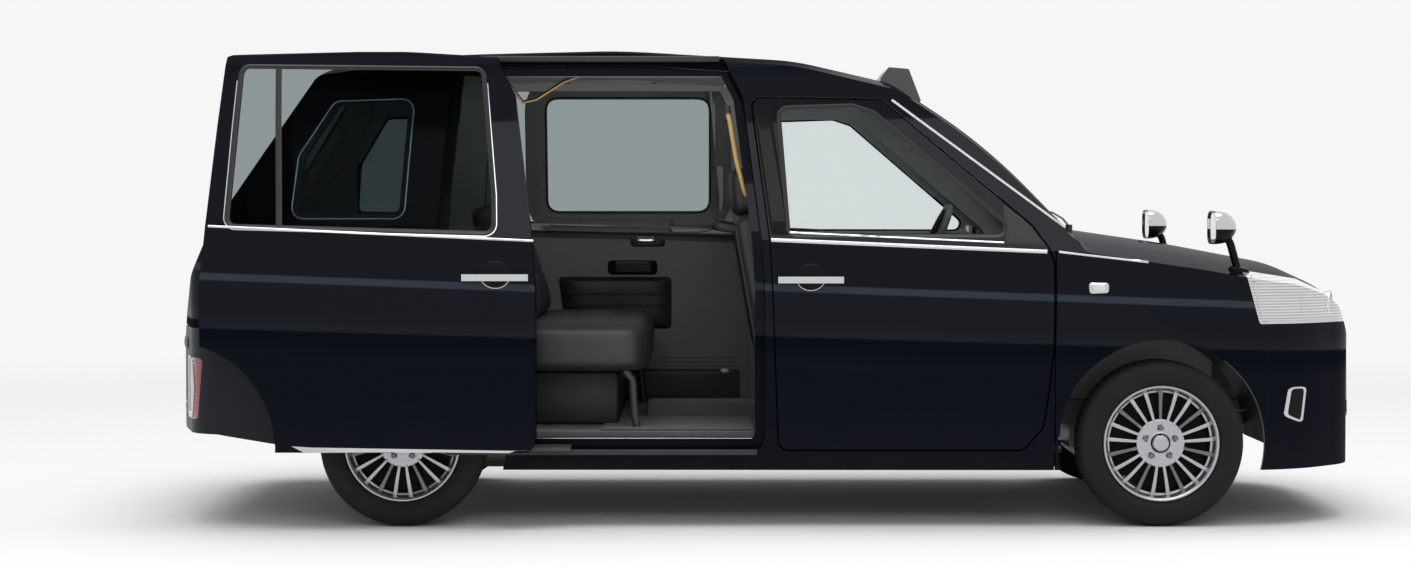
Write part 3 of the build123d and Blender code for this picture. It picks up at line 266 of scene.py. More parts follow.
looks = {
    "body_paint": paintLook("bodyPaint"), "open_paint": paintLook("openDoorPaint", True),
    "matt_paint": plainLook("mattPaint", (0.0125, 0.0152, 0.0188, 1), 0.42, grain=0.0002, shine=0.15),
    "glass": glassLook("cabinGlass", (0.02, 0.025, 0.025, 1), (0.925, 0.945, 0.945, 1)),
    "privacy_glass": glassLook("privacyGlass", (0.006, 0.007, 0.008, 1), (0.55, 0.588, 0.593, 1)),
    "black_plastic": plainLook("blackPlastic", (0.018, 0.018, 0.019, 1), 0.5, grain=0.0006, scale=700),
    "gloss_black": plainLook("glossBlack", (0.006, 0.006, 0.007, 1), 0.16, coat=0.12, grain=0.0001,
                             shine=0.05),
    "rim_black": plainLook("rimBlack", (0.006, 0.006, 0.006, 1), 0.6, grain=0.0002, shine=0.1),
    "grille_black": plainLook("grilleBlack", (0.02, 0.02, 0.022, 1), 0.3, grain=0.0003),
    "lamp_clear": lampLook("lampCover", (0.96, 0.97, 0.98, 1), 30.0, 0.12),
    "lamp_red": lampLook("lampRed", (0.30, 0.006, 0.008, 1), 24.0, 0.06),
    "chrome": plainLook("chrome", (0.58, 0.59, 0.60, 1), 0.13, metal=1.0, spread=0.03, grain=0.0001),
    "sign_plastic": plainLook("signPlastic", (0.06, 0.062, 0.066, 1), 0.22, coat=0.5, grain=0.0002),
    "dash_plastic": plainLook("dashPlastic", (0.028, 0.028, 0.03, 1), 0.6, grain=0.0009, scale=900),
    "seat_leather": leatherLook("seatLeather", (0.040, 0.041, 0.044, 1)),
    "floor_mat": carpetLook("floorMat", (0.19, 0.194, 0.20, 1)),
    "rim_alloy": plainLook("rimAlloy", (0.44, 0.45, 0.465, 1), 0.27, metal=0.9, spread=0.05, grain=0.0002),
    "rim_dark": plainLook("rimDark", (0.16, 0.165, 0.17, 1), 0.4, metal=0.8, spread=0.1, grain=0.0002),
    "tyre_rubber": tyreLook("tyreRubber"),
    "cast_steel": plainLook("castSteel", (0.075, 0.073, 0.07, 1), 0.55, metal=0.6, spread=0.35, grain=0.002,
                            scale=120),
    "engine_metal": plainLook("engineMetal", (0.20, 0.20, 0.205, 1), 0.5, metal=0.7, spread=0.3,
                              grain=0.002, scale=90),
    "exhaust_steel": plainLook("exhaustSteel", (0.28, 0.27, 0.25, 1), 0.38, metal=0.9, spread=0.3,
                               grain=0.0005),
    "seal_rubber": plainLook("sealRubber", (0.010, 0.010, 0.010, 1), 0.45, grain=0.0003),
    "plate_white": plainLook("plateWhite", (0.62, 0.63, 0.62, 1), 0.35, grain=0.0002, spread=0.04),
    "grip_gold": plainLook("gripGold", (0.62, 0.42, 0.13, 1), 0.4, grain=0.001, scale=300),
    "mirror_face": plainLook("mirrorFace", (0.72, 0.75, 0.78, 1), 0.04, metal=1.0, spread=0.02),
    "trim_grey": plainLook("trimGrey", (0.235, 0.242, 0.245, 1), 0.6, grain=0.0007, scale=600),
    "amber": plainLook("amberLens", (0.55, 0.20, 0.02, 1), 0.12, coat=1.0, grain=0.0004, scale=90),
    "white_lens": plainLook("whiteLens", (0.75, 0.76, 0.78, 1), 0.1, coat=1.0, grain=0.0004, scale=90),
}
slotOf = {row["node"]: row["material_slot"] for row in frame["record"]["subparts"]}
ownLook = {"sliding_door": "open_paint", "rear_bumper": "matt_paint"}
for nodeName, obj in nodes.items():
    obj.data.materials.clear()
    obj.data.materials.append(looks[ownLook.get(nodeName, slotOf[nodeName])])
print("finishes:", len(looks))


# Mesh helpers

def landed(bm, name, look, body, replaced=(), angle=38, levels=0):
    mesh = bpy.data.meshes.new(name)
    bm.to_mesh(mesh)
    bm.free()
    for polygon in mesh.polygons:
        polygon.use_smooth = True
    mesh.set_sharp_from_angle(angle=math.radians(angle))
    piece = bpy.data.objects.new(name, mesh)
    scene.collection.objects.link(piece)
    for one in (look if isinstance(look, (list, tuple)) else [look]):
        mesh.materials.append(looks[one])
    if levels:
        soft = piece.modifiers.new("smooth", "SUBSURF")
        soft.levels = soft.render_levels = levels
    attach(piece, body)
    if replaced:
        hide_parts(*replaced)
    return piece


def mapped(acrossU, acrossV, place):
    bm = bmesh.new()
    bmesh.ops.create_grid(bm, x_segments=acrossU, y_segments=acrossV, size=0.5)
    for vert in bm.verts:
        vert.co = place(vert.co.x + 0.5, vert.co.y + 0.5)
    bmesh.ops.remove_doubles(bm, verts=bm.verts, dist=2e-5)
    bmesh.ops.holes_fill(bm, edges=[e for e in bm.edges if e.is_boundary], sides=0)
    bmesh.ops.recalc_face_normals(bm, faces=bm.faces)
    return bm


def skinOf(*names, within=None):
    bm = bmesh.new()
    for name in names:
        bm.from_mesh(nodes[name].data)
    if within:  # leaves out what stands further out sideways, such as a door's handle
        proud = [f for f in bm.faces if abs(f.calc_center_median().y) > within]
        bmesh.ops.delete(bm, geom=proud, context="FACES")
    tree = BVHTree.FromBMesh(bm)
    bm.free()
    return tree


# Facing: the axis that the outline is seen along, which side it is seen from, and whether from inside
sideRight, sideLeft = ("y", -1, False), ("y", 1, False)
insideLeft = ("y", 1, True)
ahead, behind, above = ("x", 1, False), ("x", -1, False), ("z", 1, False)
flatAxes = {"x": (1, 2), "y": (0, 2), "z": (0, 1)}


def dropOn(skin, facing, a, b):
    axis, sign, inside = facing
    depth, (across, up) = "xyz".index(axis), flatAxes[axis]
    start, ray = Vector((0, 0, 0)), Vector((0, 0, 0))
    start[across], start[up], start[depth] = a, b, 0.0 if inside else 3.0 * sign
    ray[depth] = sign if inside else -sign
    spot, normal, _, _ = skin.ray_cast(start, ray)
    if spot is None:
        return None, None
    return spot, -normal if normal.dot(ray) > 0 else normal


def walked(points, step, closed):
    pts = [Vector(p) for p in points]
    if closed:
        pts.append(pts[0])
    out = []
    for p, q in zip(pts, pts[1:]):
        count = max(int((q - p).length / step), 1)
        out += [p.lerp(q, i / count) for i in range(count)]
    out.append(pts[-1])
    return out


def curved(start, corner, end, steps=5):
    shares = [k / steps for k in range(steps + 1)]
    return [start * (1 - t) ** 2 + corner * 2 * t * (1 - t) + end * t * t for t in shares]


def rounded(points, radius):
    pts = [Vector(p) for p in points]
    out = []
    for before, p, after in zip(pts[-1:] + pts, pts, pts[1:] + pts[:1]):
        a, b = before - p, after - p
        reach = min(radius, a.length * 0.45, b.length * 0.45)
        out += curved(p + a.normalized() * reach, p, p + b.normalized() * reach)
    return out


def rounded3(points, radius):
    pts = [Vector(p) for p in points]
    out = [pts[0]]
    for before, p, after in zip(pts, pts[1:], pts[2:]):
        start, end = [p + (q - p).normalized() * min(radius, (q - p).length * 0.45) for q in (before, after)]
        out += curved(start, p, end)
    return out + [pts[-1]]


def ribbon(name, points, skin, facing, width, height, look, body="shell", closed=False, sink=0.0015,
           step=0.02):
    path = walked(points, step, closed)
    count = len(path)
    ring = [(math.cos(k * math.pi / 4 + math.pi / 8), math.sin(k * math.pi / 4 + math.pi / 8))
            for k in range(8)]
    across, up = flatAxes[facing[0]]
    rows = []
    last = None
    for i, p in enumerate(path):
        if closed and i == count - 1:
            rows.append(rows[0])
            continue
        before = path[i - 1] if i else (path[-2] if closed else p)
        after = path[i + 1] if i + 1 < count else p
        along = (after - before).normalized()
        side = Vector((-along.y, along.x))
        row = []
        for c, s in ring:
            q = p + side * c * width / 1.85
            spot, normal = dropOn(skin, facing, q.x, q.y)
            if spot is None:  # past the skin's edge it carries on at the last depth
                spot, normal = last or skin.find_nearest(Vector((q.x, 0.9 * facing[1], q.y)))[:2]
                spot = spot.copy()
                spot[across], spot[up] = q.x, q.y
            else:
                last = (spot, normal)
            row.append(spot + normal * ((s / 1.85 + 0.5) * height - sink))
        rows.append(row + row[:1])

    def place(u, v):
        return rows[min(round(u * (count - 1)), count - 1)][round(v * 8)]

    return landed(mapped(count - 1, 8, place), name, look, body)


def plate(name, outline, skin, facing, height, look, body="shell", step=0.02):
    rings, sink = 6, 0.002
    path = walked(outline, step, True)
    count = len(path)
    middle = sum(path[:-1], Vector((0, 0))) / (count - 1)
    cache = {}

    def place(u, v):
        i = round(u * (count - 1)) % (count - 1)
        k = round(v * (rings + 1))
        if (i, k) not in cache:
            share = min(k / rings, 1.0)
            q = middle + (path[i] - middle) * share
            spot, normal = dropOn(skin, facing, q.x, q.y)
            if spot is None:
                spot, normal, _, _ = skin.find_nearest(Vector((q.x, 0.85 * facing[1], q.y)))
            lift = height * (1 - share ** 10)
            cache[(i, k)] = spot + normal * (lift if k <= rings else -sink)
        return cache[(i, k)]

    return landed(mapped(count - 1, rings + 1, place), name, look, body)


def tube(name, points, radius, look="black_plastic", body="shell", closed=False, around=10, flat=1.0,
         step=0.02):
    pts = [Vector(p) for p in points]
    path = walked(pts, step, closed)
    count = len(path)
    rows = []
    upHint = Vector((0.13, 0.21, 0.97))
    for i, p in enumerate(path):
        before = path[i - 1] if i else (path[-2] if closed else p)
        after = path[i + 1] if i + 1 < count else (path[1] if closed else p)
        along = (after - before).normalized()
        side = along.cross(upHint).normalized()
        up = side.cross(along).normalized()
        rows.append([p + side * radius * math.cos(2 * math.pi * k / around)
                     + up * radius * flat * math.sin(2 * math.pi * k / around) for k in range(around + 1)])

    def place(u, v):
        return rows[round(u * (count - 1))][round(v * around) % around]

    return landed(mapped(count - 1, around, place), name, look, body)


def block(name, low, high, look="black_plastic", body="shell", bevel=0.004, segments=3, turn=None):
    bm = bmesh.new()
    bmesh.ops.create_cube(bm, size=1.0)
    size = Vector(high) - Vector(low)
    middle = (Vector(high) + Vector(low)) / 2
    bmesh.ops.scale(bm, vec=size, verts=bm.verts)
    bmesh.ops.bevel(bm, geom=bm.edges[:], offset=bevel, segments=segments, profile=0.5, affect="EDGES",
                    material=-1)
    if turn:
        bmesh.ops.transform(bm, matrix=turn, verts=bm.verts)
    bmesh.ops.translate(bm, vec=middle, verts=bm.verts)
    return landed(bm, name, look, body)


def spun(profile, steps):
    bm = bmesh.new()
    verts = [bm.verts.new((r, w, 0)) for r, w in profile]
    edges = [bm.edges.new(pair) for pair in zip(verts, verts[1:])]
    if profile[0] != profile[-1] and profile[0][0] > 0:
        edges.append(bm.edges.new((verts[-1], verts[0])))
    bmesh.ops.spin(bm, geom=verts + edges, cent=(0, 0, 0), axis=(0, 1, 0), angle=2 * math.pi,
                   steps=steps, use_merge=True)
    bmesh.ops.remove_doubles(bm, verts=bm.verts, dist=1e-5)
    bmesh.ops.recalc_face_normals(bm, faces=bm.faces)
    return bm


def turned(name, profile, steps, put, look, body="shell", replaced=(), dark=(0, 0)):
    bm = spun(profile, steps)
    for f in bm.faces:  # the second finish goes on a ring between two radii
        f.material_index = 1 if dark[0] < f.calc_center_median().xz.length < dark[1] else 0
    bmesh.ops.transform(bm, matrix=put, verts=bm.verts)
    return landed(bm, name, look, body, replaced, angle=30)


def oval(x, z, wide, high, start=0.0, step=15, count=24):
    turns = [math.radians(start + step * k) for k in range(count)]
    return [(x + wide * math.cos(a), z + high * math.sin(a)) for a in turns]


def hullOf(node, axis):
    flat = flatAxes[axis]
    spots = [(v.co[flat[0]], v.co[flat[1]]) for v in nodes[node].data.vertices]
    return [Vector(spots[i]) for i in convex_hull_2d(spots)]


def grown(outline, amount):
    middle = sum(outline, Vector((0, 0))) / len(outline)
    count = len(outline)
    area = sum(outline[i - 1].x * outline[i].y - outline[i].x * outline[i - 1].y for i in range(count))
    turn = 1 if area > 0 else -1
    out = []
    for i, p in enumerate(outline):
        along = (outline[(i + 1) % count] - outline[i - 1]).normalized()
        out.append(p + Vector((along.y, -along.x)) * amount * turn)
    return out


# Wheels: 21 spokes, every third one set back and dark, on a spun rim

wheelValues = {
    "track": 0.740, "axle": 1.375, "centre": 0.3015, "spokes": 21, "darkStep": 3, "darkDepth": 0.010,
    "spokeIn": 0.078, "spokeOut": 0.192, "spokeWide": 0.0125, "spokeThick": 0.020, "face": 0.056,
    "spokeBulge": 0.006, "spokeBevel": 0.0022, "nuts": 5, "nutCircle": 0.05715, "nutRadius": 0.0115,
    "nutPit": 0.0150, "cap": 0.031, "treadSteps": 180, "treadEvery": 3, "treadFrom": 0.2975,
    "treadDeep": 0.005,
}
bothSides = ((-1, "right"), (1, "left"))
rimProfile = [
    (0.2115, 0.0755), (0.2085, 0.0780), (0.2040, 0.0780), (0.1990, 0.0740), (0.1950, 0.0640),
    (0.1925, 0.0560), (0.1900, 0.0400), (0.1790, 0.0340), (0.1780, -0.0650), (0.1960, -0.0740),
    (0.2115, -0.0760), (0.2115, -0.0705), (0.2030, -0.0700), (0.2030, -0.0490), (0.1840, -0.0400),
    (0.1840, 0.0380), (0.2030, 0.0480), (0.2030, 0.0700), (0.2115, 0.0700),
]
# A flat black disc behind the spokes: painted shade, a dark sheet where the dark inside the wheel shows
# through.
shadeDiscProfile = [(0.086, 0.020), (0.1765, 0.020), (0.1765, 0.014), (0.086, 0.014), (0.086, 0.020)]
hubProfile = [
    (0.0, 0.068), (0.018, 0.0675), (0.027, 0.0650), (0.0305, 0.0610), (0.0315, 0.0570), (0.036, 0.0545),
    (0.052, 0.0530), (0.068, 0.0545), (0.080, 0.0560), (0.0865, 0.0540), (0.088, 0.0460), (0.086, 0.0140),
    (0.060, 0.0120), (0.0, 0.0120),
]


def tyreProfile():
    rows = [(0.2033, 0.0697), (0.2120, 0.0700), (0.2175, 0.0790), (0.2300, 0.0885), (0.2380, 0.0910),
            (0.2395, 0.0922), (0.2440, 0.0922), (0.2455, 0.0912), (0.2560, 0.0918), (0.2570, 0.0925),
            (0.2610, 0.0925), (0.2620, 0.0915), (0.2740, 0.0890), (0.2860, 0.0830), (0.2935, 0.0750),
            (0.2975, 0.0660)]
    grooves = [(0.0480, 0.0055), (0.0160, 0.0065)]
    tread = []
    for middle, half in grooves:
        tread += [(middle + half, 1), (middle + half - 0.0015, 0), (middle - half + 0.0015, 0),
                  (middle - half, 1)]
    for w, top in tread:
        crown = 0.3014 - 0.0022 * (w / 0.07) ** 2
        rows.append((crown if top else crown - 0.0075, w))
    return rows + [(r, -w) for r, w in reversed(rows)]


def wheelPieces(name, body, x, side):
    v = wheelValues
    facing = Matrix.Rotation(0 if side > 0 else math.pi, 4, "Z")
    put = Matrix.Translation((x, side * v["track"], v["centre"])) @ facing

    bm = spun(tyreProfile(), v["treadSteps"])
    tops = [f for f in bm.faces if f.calc_center_median().xz.length > v["treadFrom"]]
    picked = []
    for f in tops:
        c = f.calc_center_median()
        step = int((math.atan2(c.z, c.x) % (2 * math.pi)) / (2 * math.pi) * v["treadSteps"])
        shift = 1 if c.y > 0.03 else (0 if c.y > -0.03 else 2)
        if (step + shift) % v["treadEvery"] == 0:
            picked.append(f)
    blocks = bmesh.ops.extrude_discrete_faces(bm, faces=picked)["faces"]
    for f in blocks:
        out = f.calc_center_median()
        out.y = 0
        bmesh.ops.translate(bm, vec=-out.normalized() * v["treadDeep"], verts=f.verts)
    bmesh.ops.transform(bm, matrix=put, verts=bm.verts)
    landed(bm, "tyre_tread_" + name, "tyre_rubber", body, ["tyre_" + name], angle=30)

    turned("rim_barrel_" + name, rimProfile, 128, put, ["rim_alloy", "rim_black"], body,
           replaced=["rim_" + name], dark=(-1, v["spokeOut"] - 0.001))
    # the black disc behind the spokes is painted shade, a dark sheet standing for the dark seen through them
    turned("wheel_shield_" + name, shadeDiscProfile, 64, put, "rim_black", body)

    for kind in ("bright", "dark"):
        bm = bmesh.new()
        for i in range(v["spokes"]):
            dark = i % v["darkStep"] == 0
            if dark != (kind == "dark"):
                continue
            spoke = bmesh.new()
            bmesh.ops.create_cube(spoke, size=1.0)
            long = v["spokeOut"] - v["spokeIn"]
            bmesh.ops.scale(spoke, vec=(long, v["spokeThick"], v["spokeWide"]), verts=spoke.verts)
            lengthwise = [e for e in spoke.edges if abs(e.verts[0].co.x - e.verts[1].co.x) > 0.05]
            bmesh.ops.subdivide_edges(spoke, edges=lengthwise, cuts=6)
            middle = ((v["spokeIn"] + v["spokeOut"]) / 2, v["face"] - v["spokeThick"] / 2, 0)
            bmesh.ops.translate(spoke, vec=middle, verts=spoke.verts)
            for vert in spoke.verts:
                t = (vert.co.x - v["spokeIn"]) / long
                vert.co.z *= 0.80 + 0.42 * t  # a spoke widens outwards
                setBack = (v["darkDepth"] if dark else 0) * math.sin(math.pi * min(t * 1.15, 1)) ** 0.5
                vert.co.y += v["spokeBulge"] * math.sin(math.pi * t) - setBack
            edges = [e for e in spoke.edges if abs(e.verts[0].co.x - e.verts[1].co.x) > 0.005
                     and min(p.co.y for p in e.verts) > 0.035]
            bmesh.ops.bevel(spoke, geom=edges, offset=v["spokeBevel"], segments=3, profile=0.5,
                            affect="EDGES", material=-1)
            turn = Matrix.Rotation(-math.pi / 2 + 2 * math.pi * i / v["spokes"], 4, "Y")
            bmesh.ops.transform(spoke, matrix=put @ turn, verts=spoke.verts)
            mesh = bpy.data.meshes.new("spoke")
            spoke.to_mesh(mesh)
            spoke.free()
            bm.from_mesh(mesh)
            bpy.data.meshes.remove(mesh)
        spokeLook = "rim_alloy" if kind == "bright" else "rim_dark"
        landed(bm, "spokes_" + kind + "_" + name, spokeLook, body)

    turned("hub_" + name, hubProfile, 96, put, ["rim_alloy", "rim_black"], body,
           dark=(v["cap"], v["cap"] + 0.009))
    bm = bmesh.new()
    for i in range(v["nuts"]):
        turn = Matrix.Rotation(-math.pi / 2 + 2 * math.pi * i / v["nuts"], 4, "Y")
        for sides, radius, low, high in ((24, v["nutPit"], 0.0480, 0.0535),
                                         (6, v["nutRadius"], 0.0500, 0.0640)):
            made = bmesh.ops.create_cone(bm, cap_ends=True, segments=sides, radius1=radius,
                                         radius2=radius * 0.86, depth=high - low)["verts"]
            seat = Matrix.Translation((v["nutCircle"], (low + high) / 2, 0))
            lay = Matrix.Rotation(-math.pi / 2, 4, "X")
            bmesh.ops.transform(bm, matrix=put @ turn @ seat @ lay, verts=made)
            for f in {f for vert in made for f in vert.link_faces}:
                f.material_index = 0 if sides == 6 else 1
    landed(bm, "wheel_nuts_" + name, ["rim_dark", "rim_black"], body, angle=25)


for end, x in (("front", wheelValues["axle"]), ("rear", -wheelValues["axle"])):
    for side, tag in bothSides:
        wheelPieces(f"{end}_{tag}", f"wheel_{end}_{tag}", x, side)
print("wheels done")

# Glass seals, chrome lines and black covers on the sides

sideValues = {
    "seal": 0.016, "sealHigh": 0.004, "line": 0.0045, "lineHigh": 0.0045, "slide": -0.815,
    "beltRear": [(-1.250, 1.0905), (-0.074, 1.0375)], "beltFront": [(-0.040, 1.0390), (0.955, 0.9965)],
    "beltUpper": [(0.028, 1.0660), (0.800, 1.0300)], "beltFender": [(0.998, 0.9960), (1.320, 0.9590)],
    "pillar": [(-0.106, 1.545), (-0.045, 1.545), (0.026, 1.058), (-0.038, 1.058)],
    "corner": [(0.800, 1.168), (0.880, 1.108), (0.950, 1.030), (0.950, 1.016), (0.806, 1.026)],
    "rocker": [(-0.940, 0.304), (-0.067, 0.290), (-0.120, 0.270), (-0.876, 0.270)],
    "moulding": [(0.402, 1.547), (1.025, 1.082)],
    "repeater": [(1.105, 0.886), (1.178, 0.884), (1.176, 0.848), (1.108, 0.846)],
    "repeaterAt": (1.142, 0.866),
    "handleFront": (0.103, 0.896), "handleRear": (-0.209, 0.908), "cupUp": 0.008, "cup": (0.058, 0.050),
    "arc": (0.053, 0.047), "gripAt": 0.853, "openOut": 0.125, "barIn": 0.165, "barLean": 0.020,
    "barFoot": 1.09,
}


def sideTrim(tag, side):
    v = sideValues
    facing = sideRight if side < 0 else sideLeft
    front, frontGlass = "front_door_" + tag, "front_glass_" + tag
    rear, rearGlass, rearBody, shift = "rear_door_left", "rear_glass_left", "door_rear_left", 0.0
    if side < 0:
        rear, rearGlass, rearBody, shift = "sliding_door", "sliding_door_glass", "shell", v["slide"]
    frontBody = "door_front_" + tag
    frontSkin, rearSkin = skinOf(front, frontGlass), skinOf(rear, rearGlass)
    fenderSkin = skinOf("fender_" + tag, "side_frame_" + tag)

    for piece, glass, skin, body in ((front, frontGlass, frontSkin, frontBody),
                                     (rear, rearGlass, rearSkin, rearBody)):
        outline = hullOf(glass, "y")
        ribbon("seal_" + piece, grown(outline, 0.001), skin, facing, v["seal"], v["sealHigh"],
               "seal_rubber", body, closed=True)
    outline = hullOf(rearGlass, "y")
    top = max(p.y for p in outline)
    ring = walked(grown(outline, 0.012), 0.02, True)[:-1]
    start = next(i for i in range(len(ring)) if ring[i].y < top - 0.05 <= ring[i - 1].y)
    lower = [p for p in ring[start:] + ring[:start] if p.y < top - 0.05]  # the top edge stays free
    ribbon("window_line_" + rear, lower, rearSkin, facing, v["line"], v["lineHigh"], "chrome", rearBody)
    moved = [(x + shift, z) for x, z in v["beltRear"]]
    ribbon("belt_line_" + rear, moved, rearSkin, facing, 0.0075, 0.006, "chrome", rearBody)
    ribbon("belt_line_" + front, v["beltFront"], frontSkin, facing, 0.0125, 0.007, "chrome", frontBody)
    ribbon("belt_upper_" + front, v["beltUpper"], frontSkin, facing, 0.007, 0.006, "chrome", frontBody)
    ribbon("belt_line_fender_" + tag, v["beltFender"], fenderSkin, facing, 0.007, 0.0045, "chrome")
    plate("pillar_cover_" + tag, rounded(v["pillar"], 0.008), frontSkin, facing, 0.003, "gloss_black",
          frontBody)
    plate("mirror_corner_" + tag, rounded(v["corner"], 0.008), frontSkin, facing, 0.006, "black_plastic",
          frontBody)
    moved = [(x + shift, z) for x, z in v["rocker"]]
    plate("rocker_line_" + rear, moved, rearSkin, facing, 0.005, "chrome", rearBody)
    ribbon("screen_moulding_" + tag, v["moulding"], skinOf("side_frame_" + tag), facing, 0.0085, 0.006,
           "chrome")
    barTop = min(p.x for p in outline) + v["barIn"]
    divider = [(barTop, top - 0.004), (barTop + v["barLean"], v["barFoot"])]
    ribbon("window_bar_" + rear, divider, rearSkin, facing, 0.022, 0.004, "seal_rubber", rearBody)
    plate("repeater_base_" + tag, rounded(v["repeater"], 0.012), fenderSkin, facing, 0.004, "chrome")
    inner = [p + (Vector(v["repeaterAt"]) - p) * 0.25 for p in rounded(v["repeater"], 0.012)]
    plate("repeater_lens_" + tag, inner, fenderSkin, facing, 0.008, "white_lens")

    handleRear = (v["handleRear"][0] + shift, v["handleRear"][1])
    for piece, body, (x, z) in ((front, frontBody, v["handleFront"]), (rear, rearBody, handleRear)):
        scoop = oval(x, z + v["cupUp"], *v["cup"])
        panel = skinOf(piece, within=v["gripAt"] + (v["openOut"] if piece == "sliding_door" else 0))
        plate("handle_cup_" + piece, scoop, panel, facing, 0.0015, "gloss_black", body)
        arc = oval(x, z + v["cupUp"], *v["arc"], start=205.2, step=10.8, count=13)
        ribbon("handle_arc_" + piece, arc, panel, facing, 0.004, 0.0045, "chrome", body, step=0.01)


sideTrim("right", -1)
sideTrim("left", 1)
quarter = hullOf("quarter_glasses", "y")
for side, tag in ((1, "left"), (-1, "right")):
    skin, facing = skinOf("quarter_glasses", "side_frame_" + tag), sideLeft if side > 0 else sideRight
    ribbon("seal_quarter_" + tag, grown(quarter, 0.001), skin, facing, 0.018, 0.004, "seal_rubber",
           closed=True)
    ribbon("line_quarter_" + tag, grown(quarter, 0.012), skin, facing, 0.006, 0.004, "chrome", closed=True)
print("side trim done")

# Windscreen and tailgate seals, wipers

screenSkin = skinOf("windscreen", "roof_panel", "side_frame_right", "side_frame_left", "firewall")
ribbon("seal_windscreen", grown(hullOf("windscreen", "x"), 0.002), screenSkin, ahead, 0.022, 0.004,
       "seal_rubber", closed=True)
gateSkin = skinOf("tailgate", "tailgate_glass")
ribbon("seal_tailgate", grown(hullOf("tailgate_glass", "x"), 0.002), gateSkin, behind, 0.020, 0.004,
       "seal_rubber", "tailgate", closed=True)


def wiper(name, skin, facing, pivot, tip, blade, body):
    a, b = Vector(pivot), Vector(tip)
    lift, arch = 0.012, 0.020
    spots = []
    for t in (0.0, 0.12, 0.35, 0.7, 1.0):
        p = a.lerp(b, t)
        spot, normal = dropOn(skin, facing, p.x, p.y)
        if spot is None:
            spot, normal, _, _ = skin.find_nearest(Vector((1.05 * facing[1], p.x, p.y)))
        spots.append(spot + normal * (lift + arch * math.sin(math.pi * t)))
    tube("wiper_arm_" + name, spots, 0.0055, "black_plastic", body, flat=0.6)
    tube("wiper_pivot_" + name, [spots[0] - Vector((0, 0, 0.03)), spots[0] + Vector((0, 0, 0.012))], 0.013,
         "black_plastic", body, around=16)
    ribbon("wiper_blade_" + name, [tuple(b - Vector(blade)), tuple(b + Vector(blade))], skin, facing, 0.012,
           0.016, "black_plastic", body)


wiper("right", screenSkin, ahead, (-0.40, 1.070), (0.02, 1.135), (0.30, 0.030), "shell")
wiper("left", screenSkin, ahead, (0.10, 1.070), (0.50, 1.125), (0.27, -0.018), "shell")
wiper("rear", gateSkin, behind, (0.0, 1.115), (-0.24, 1.175), (0.16, -0.012), "tailgate")
print("glass trim done")

# Fender mirrors

mirrorValues = {
    "x": 1.570, "y": 0.700, "z": 1.083, "deep": 0.092, "wide": 0.084, "high": 0.061, "step": 0.104,
}
for side, tag in bothSides:
    v = mirrorValues
    bm = bmesh.new()
    bmesh.ops.create_uvsphere(bm, u_segments=48, v_segments=32, radius=1.0)
    for vert in bm.verts:
        c = vert.co
        squared = (abs(c.x) ** 2.2 + abs(c.y) ** 3.4 + abs(c.z) ** 3.4) ** (1 / 3.0)
        vert.co = Vector((c.x * v["deep"] * 1.02, c.y / squared * v["wide"], c.z / squared * v["high"]))
    cut = bmesh.ops.bisect_plane(bm, geom=bm.verts[:] + bm.edges[:] + bm.faces[:], plane_co=(0.004, 0, 0),
                                 plane_no=(1, 0, 0), clear_inner=True)
    rim = [e for e in cut["geom_cut"] if isinstance(e, bmesh.types.BMEdge)]
    face = bmesh.ops.holes_fill(bm, edges=rim, sides=0)["faces"]
    bmesh.ops.inset_region(bm, faces=face, thickness=0.006, depth=0.0)
    bmesh.ops.inset_region(bm, faces=face, thickness=0.002, depth=-0.006)
    bmesh.ops.recalc_face_normals(bm, faces=bm.faces)
    for f in bm.faces:
        middle = f.calc_center_median()
        f.material_index = 0 if middle.z > -0.004 and middle.x > 0.006 else 1
    for f in face:
        f.material_index = 2
    bmesh.ops.translate(bm, vec=(v["x"], side * v["y"], v["z"]), verts=bm.verts)
    landed(bm, "mirror_head_" + tag, ["chrome", "gloss_black", "mirror_face"], "shell",
           ["fender_mirrors"] if side < 0 else (), angle=40)
    skin = skinOf("fender_" + tag, "bonnet", "headlamps", "front_bumper", "side_frame_" + tag)
    x, y = v["x"], side * v["y"]
    foot = dropOn(skin, above, x + v["step"], y)[0].z
    neck = [(x + 0.045, y, v["z"] - 0.030), (x + 0.070, y, v["z"] - 0.048),
            (x + v["step"] - 0.012, y, foot + 0.030), (x + v["step"], y, foot - 0.006)]
    tube("mirror_neck_" + tag, rounded3(neck, 0.02), 0.0145, "gloss_black", around=20, step=0.008)
    base = oval(x + v["step"], y, 0.040, 0.022)
    plate("mirror_foot_" + tag, base, skin, above, 0.014, "gloss_black", step=0.01)
print("mirrors done")


# Front: lamps, grille frame, plate, fog slots

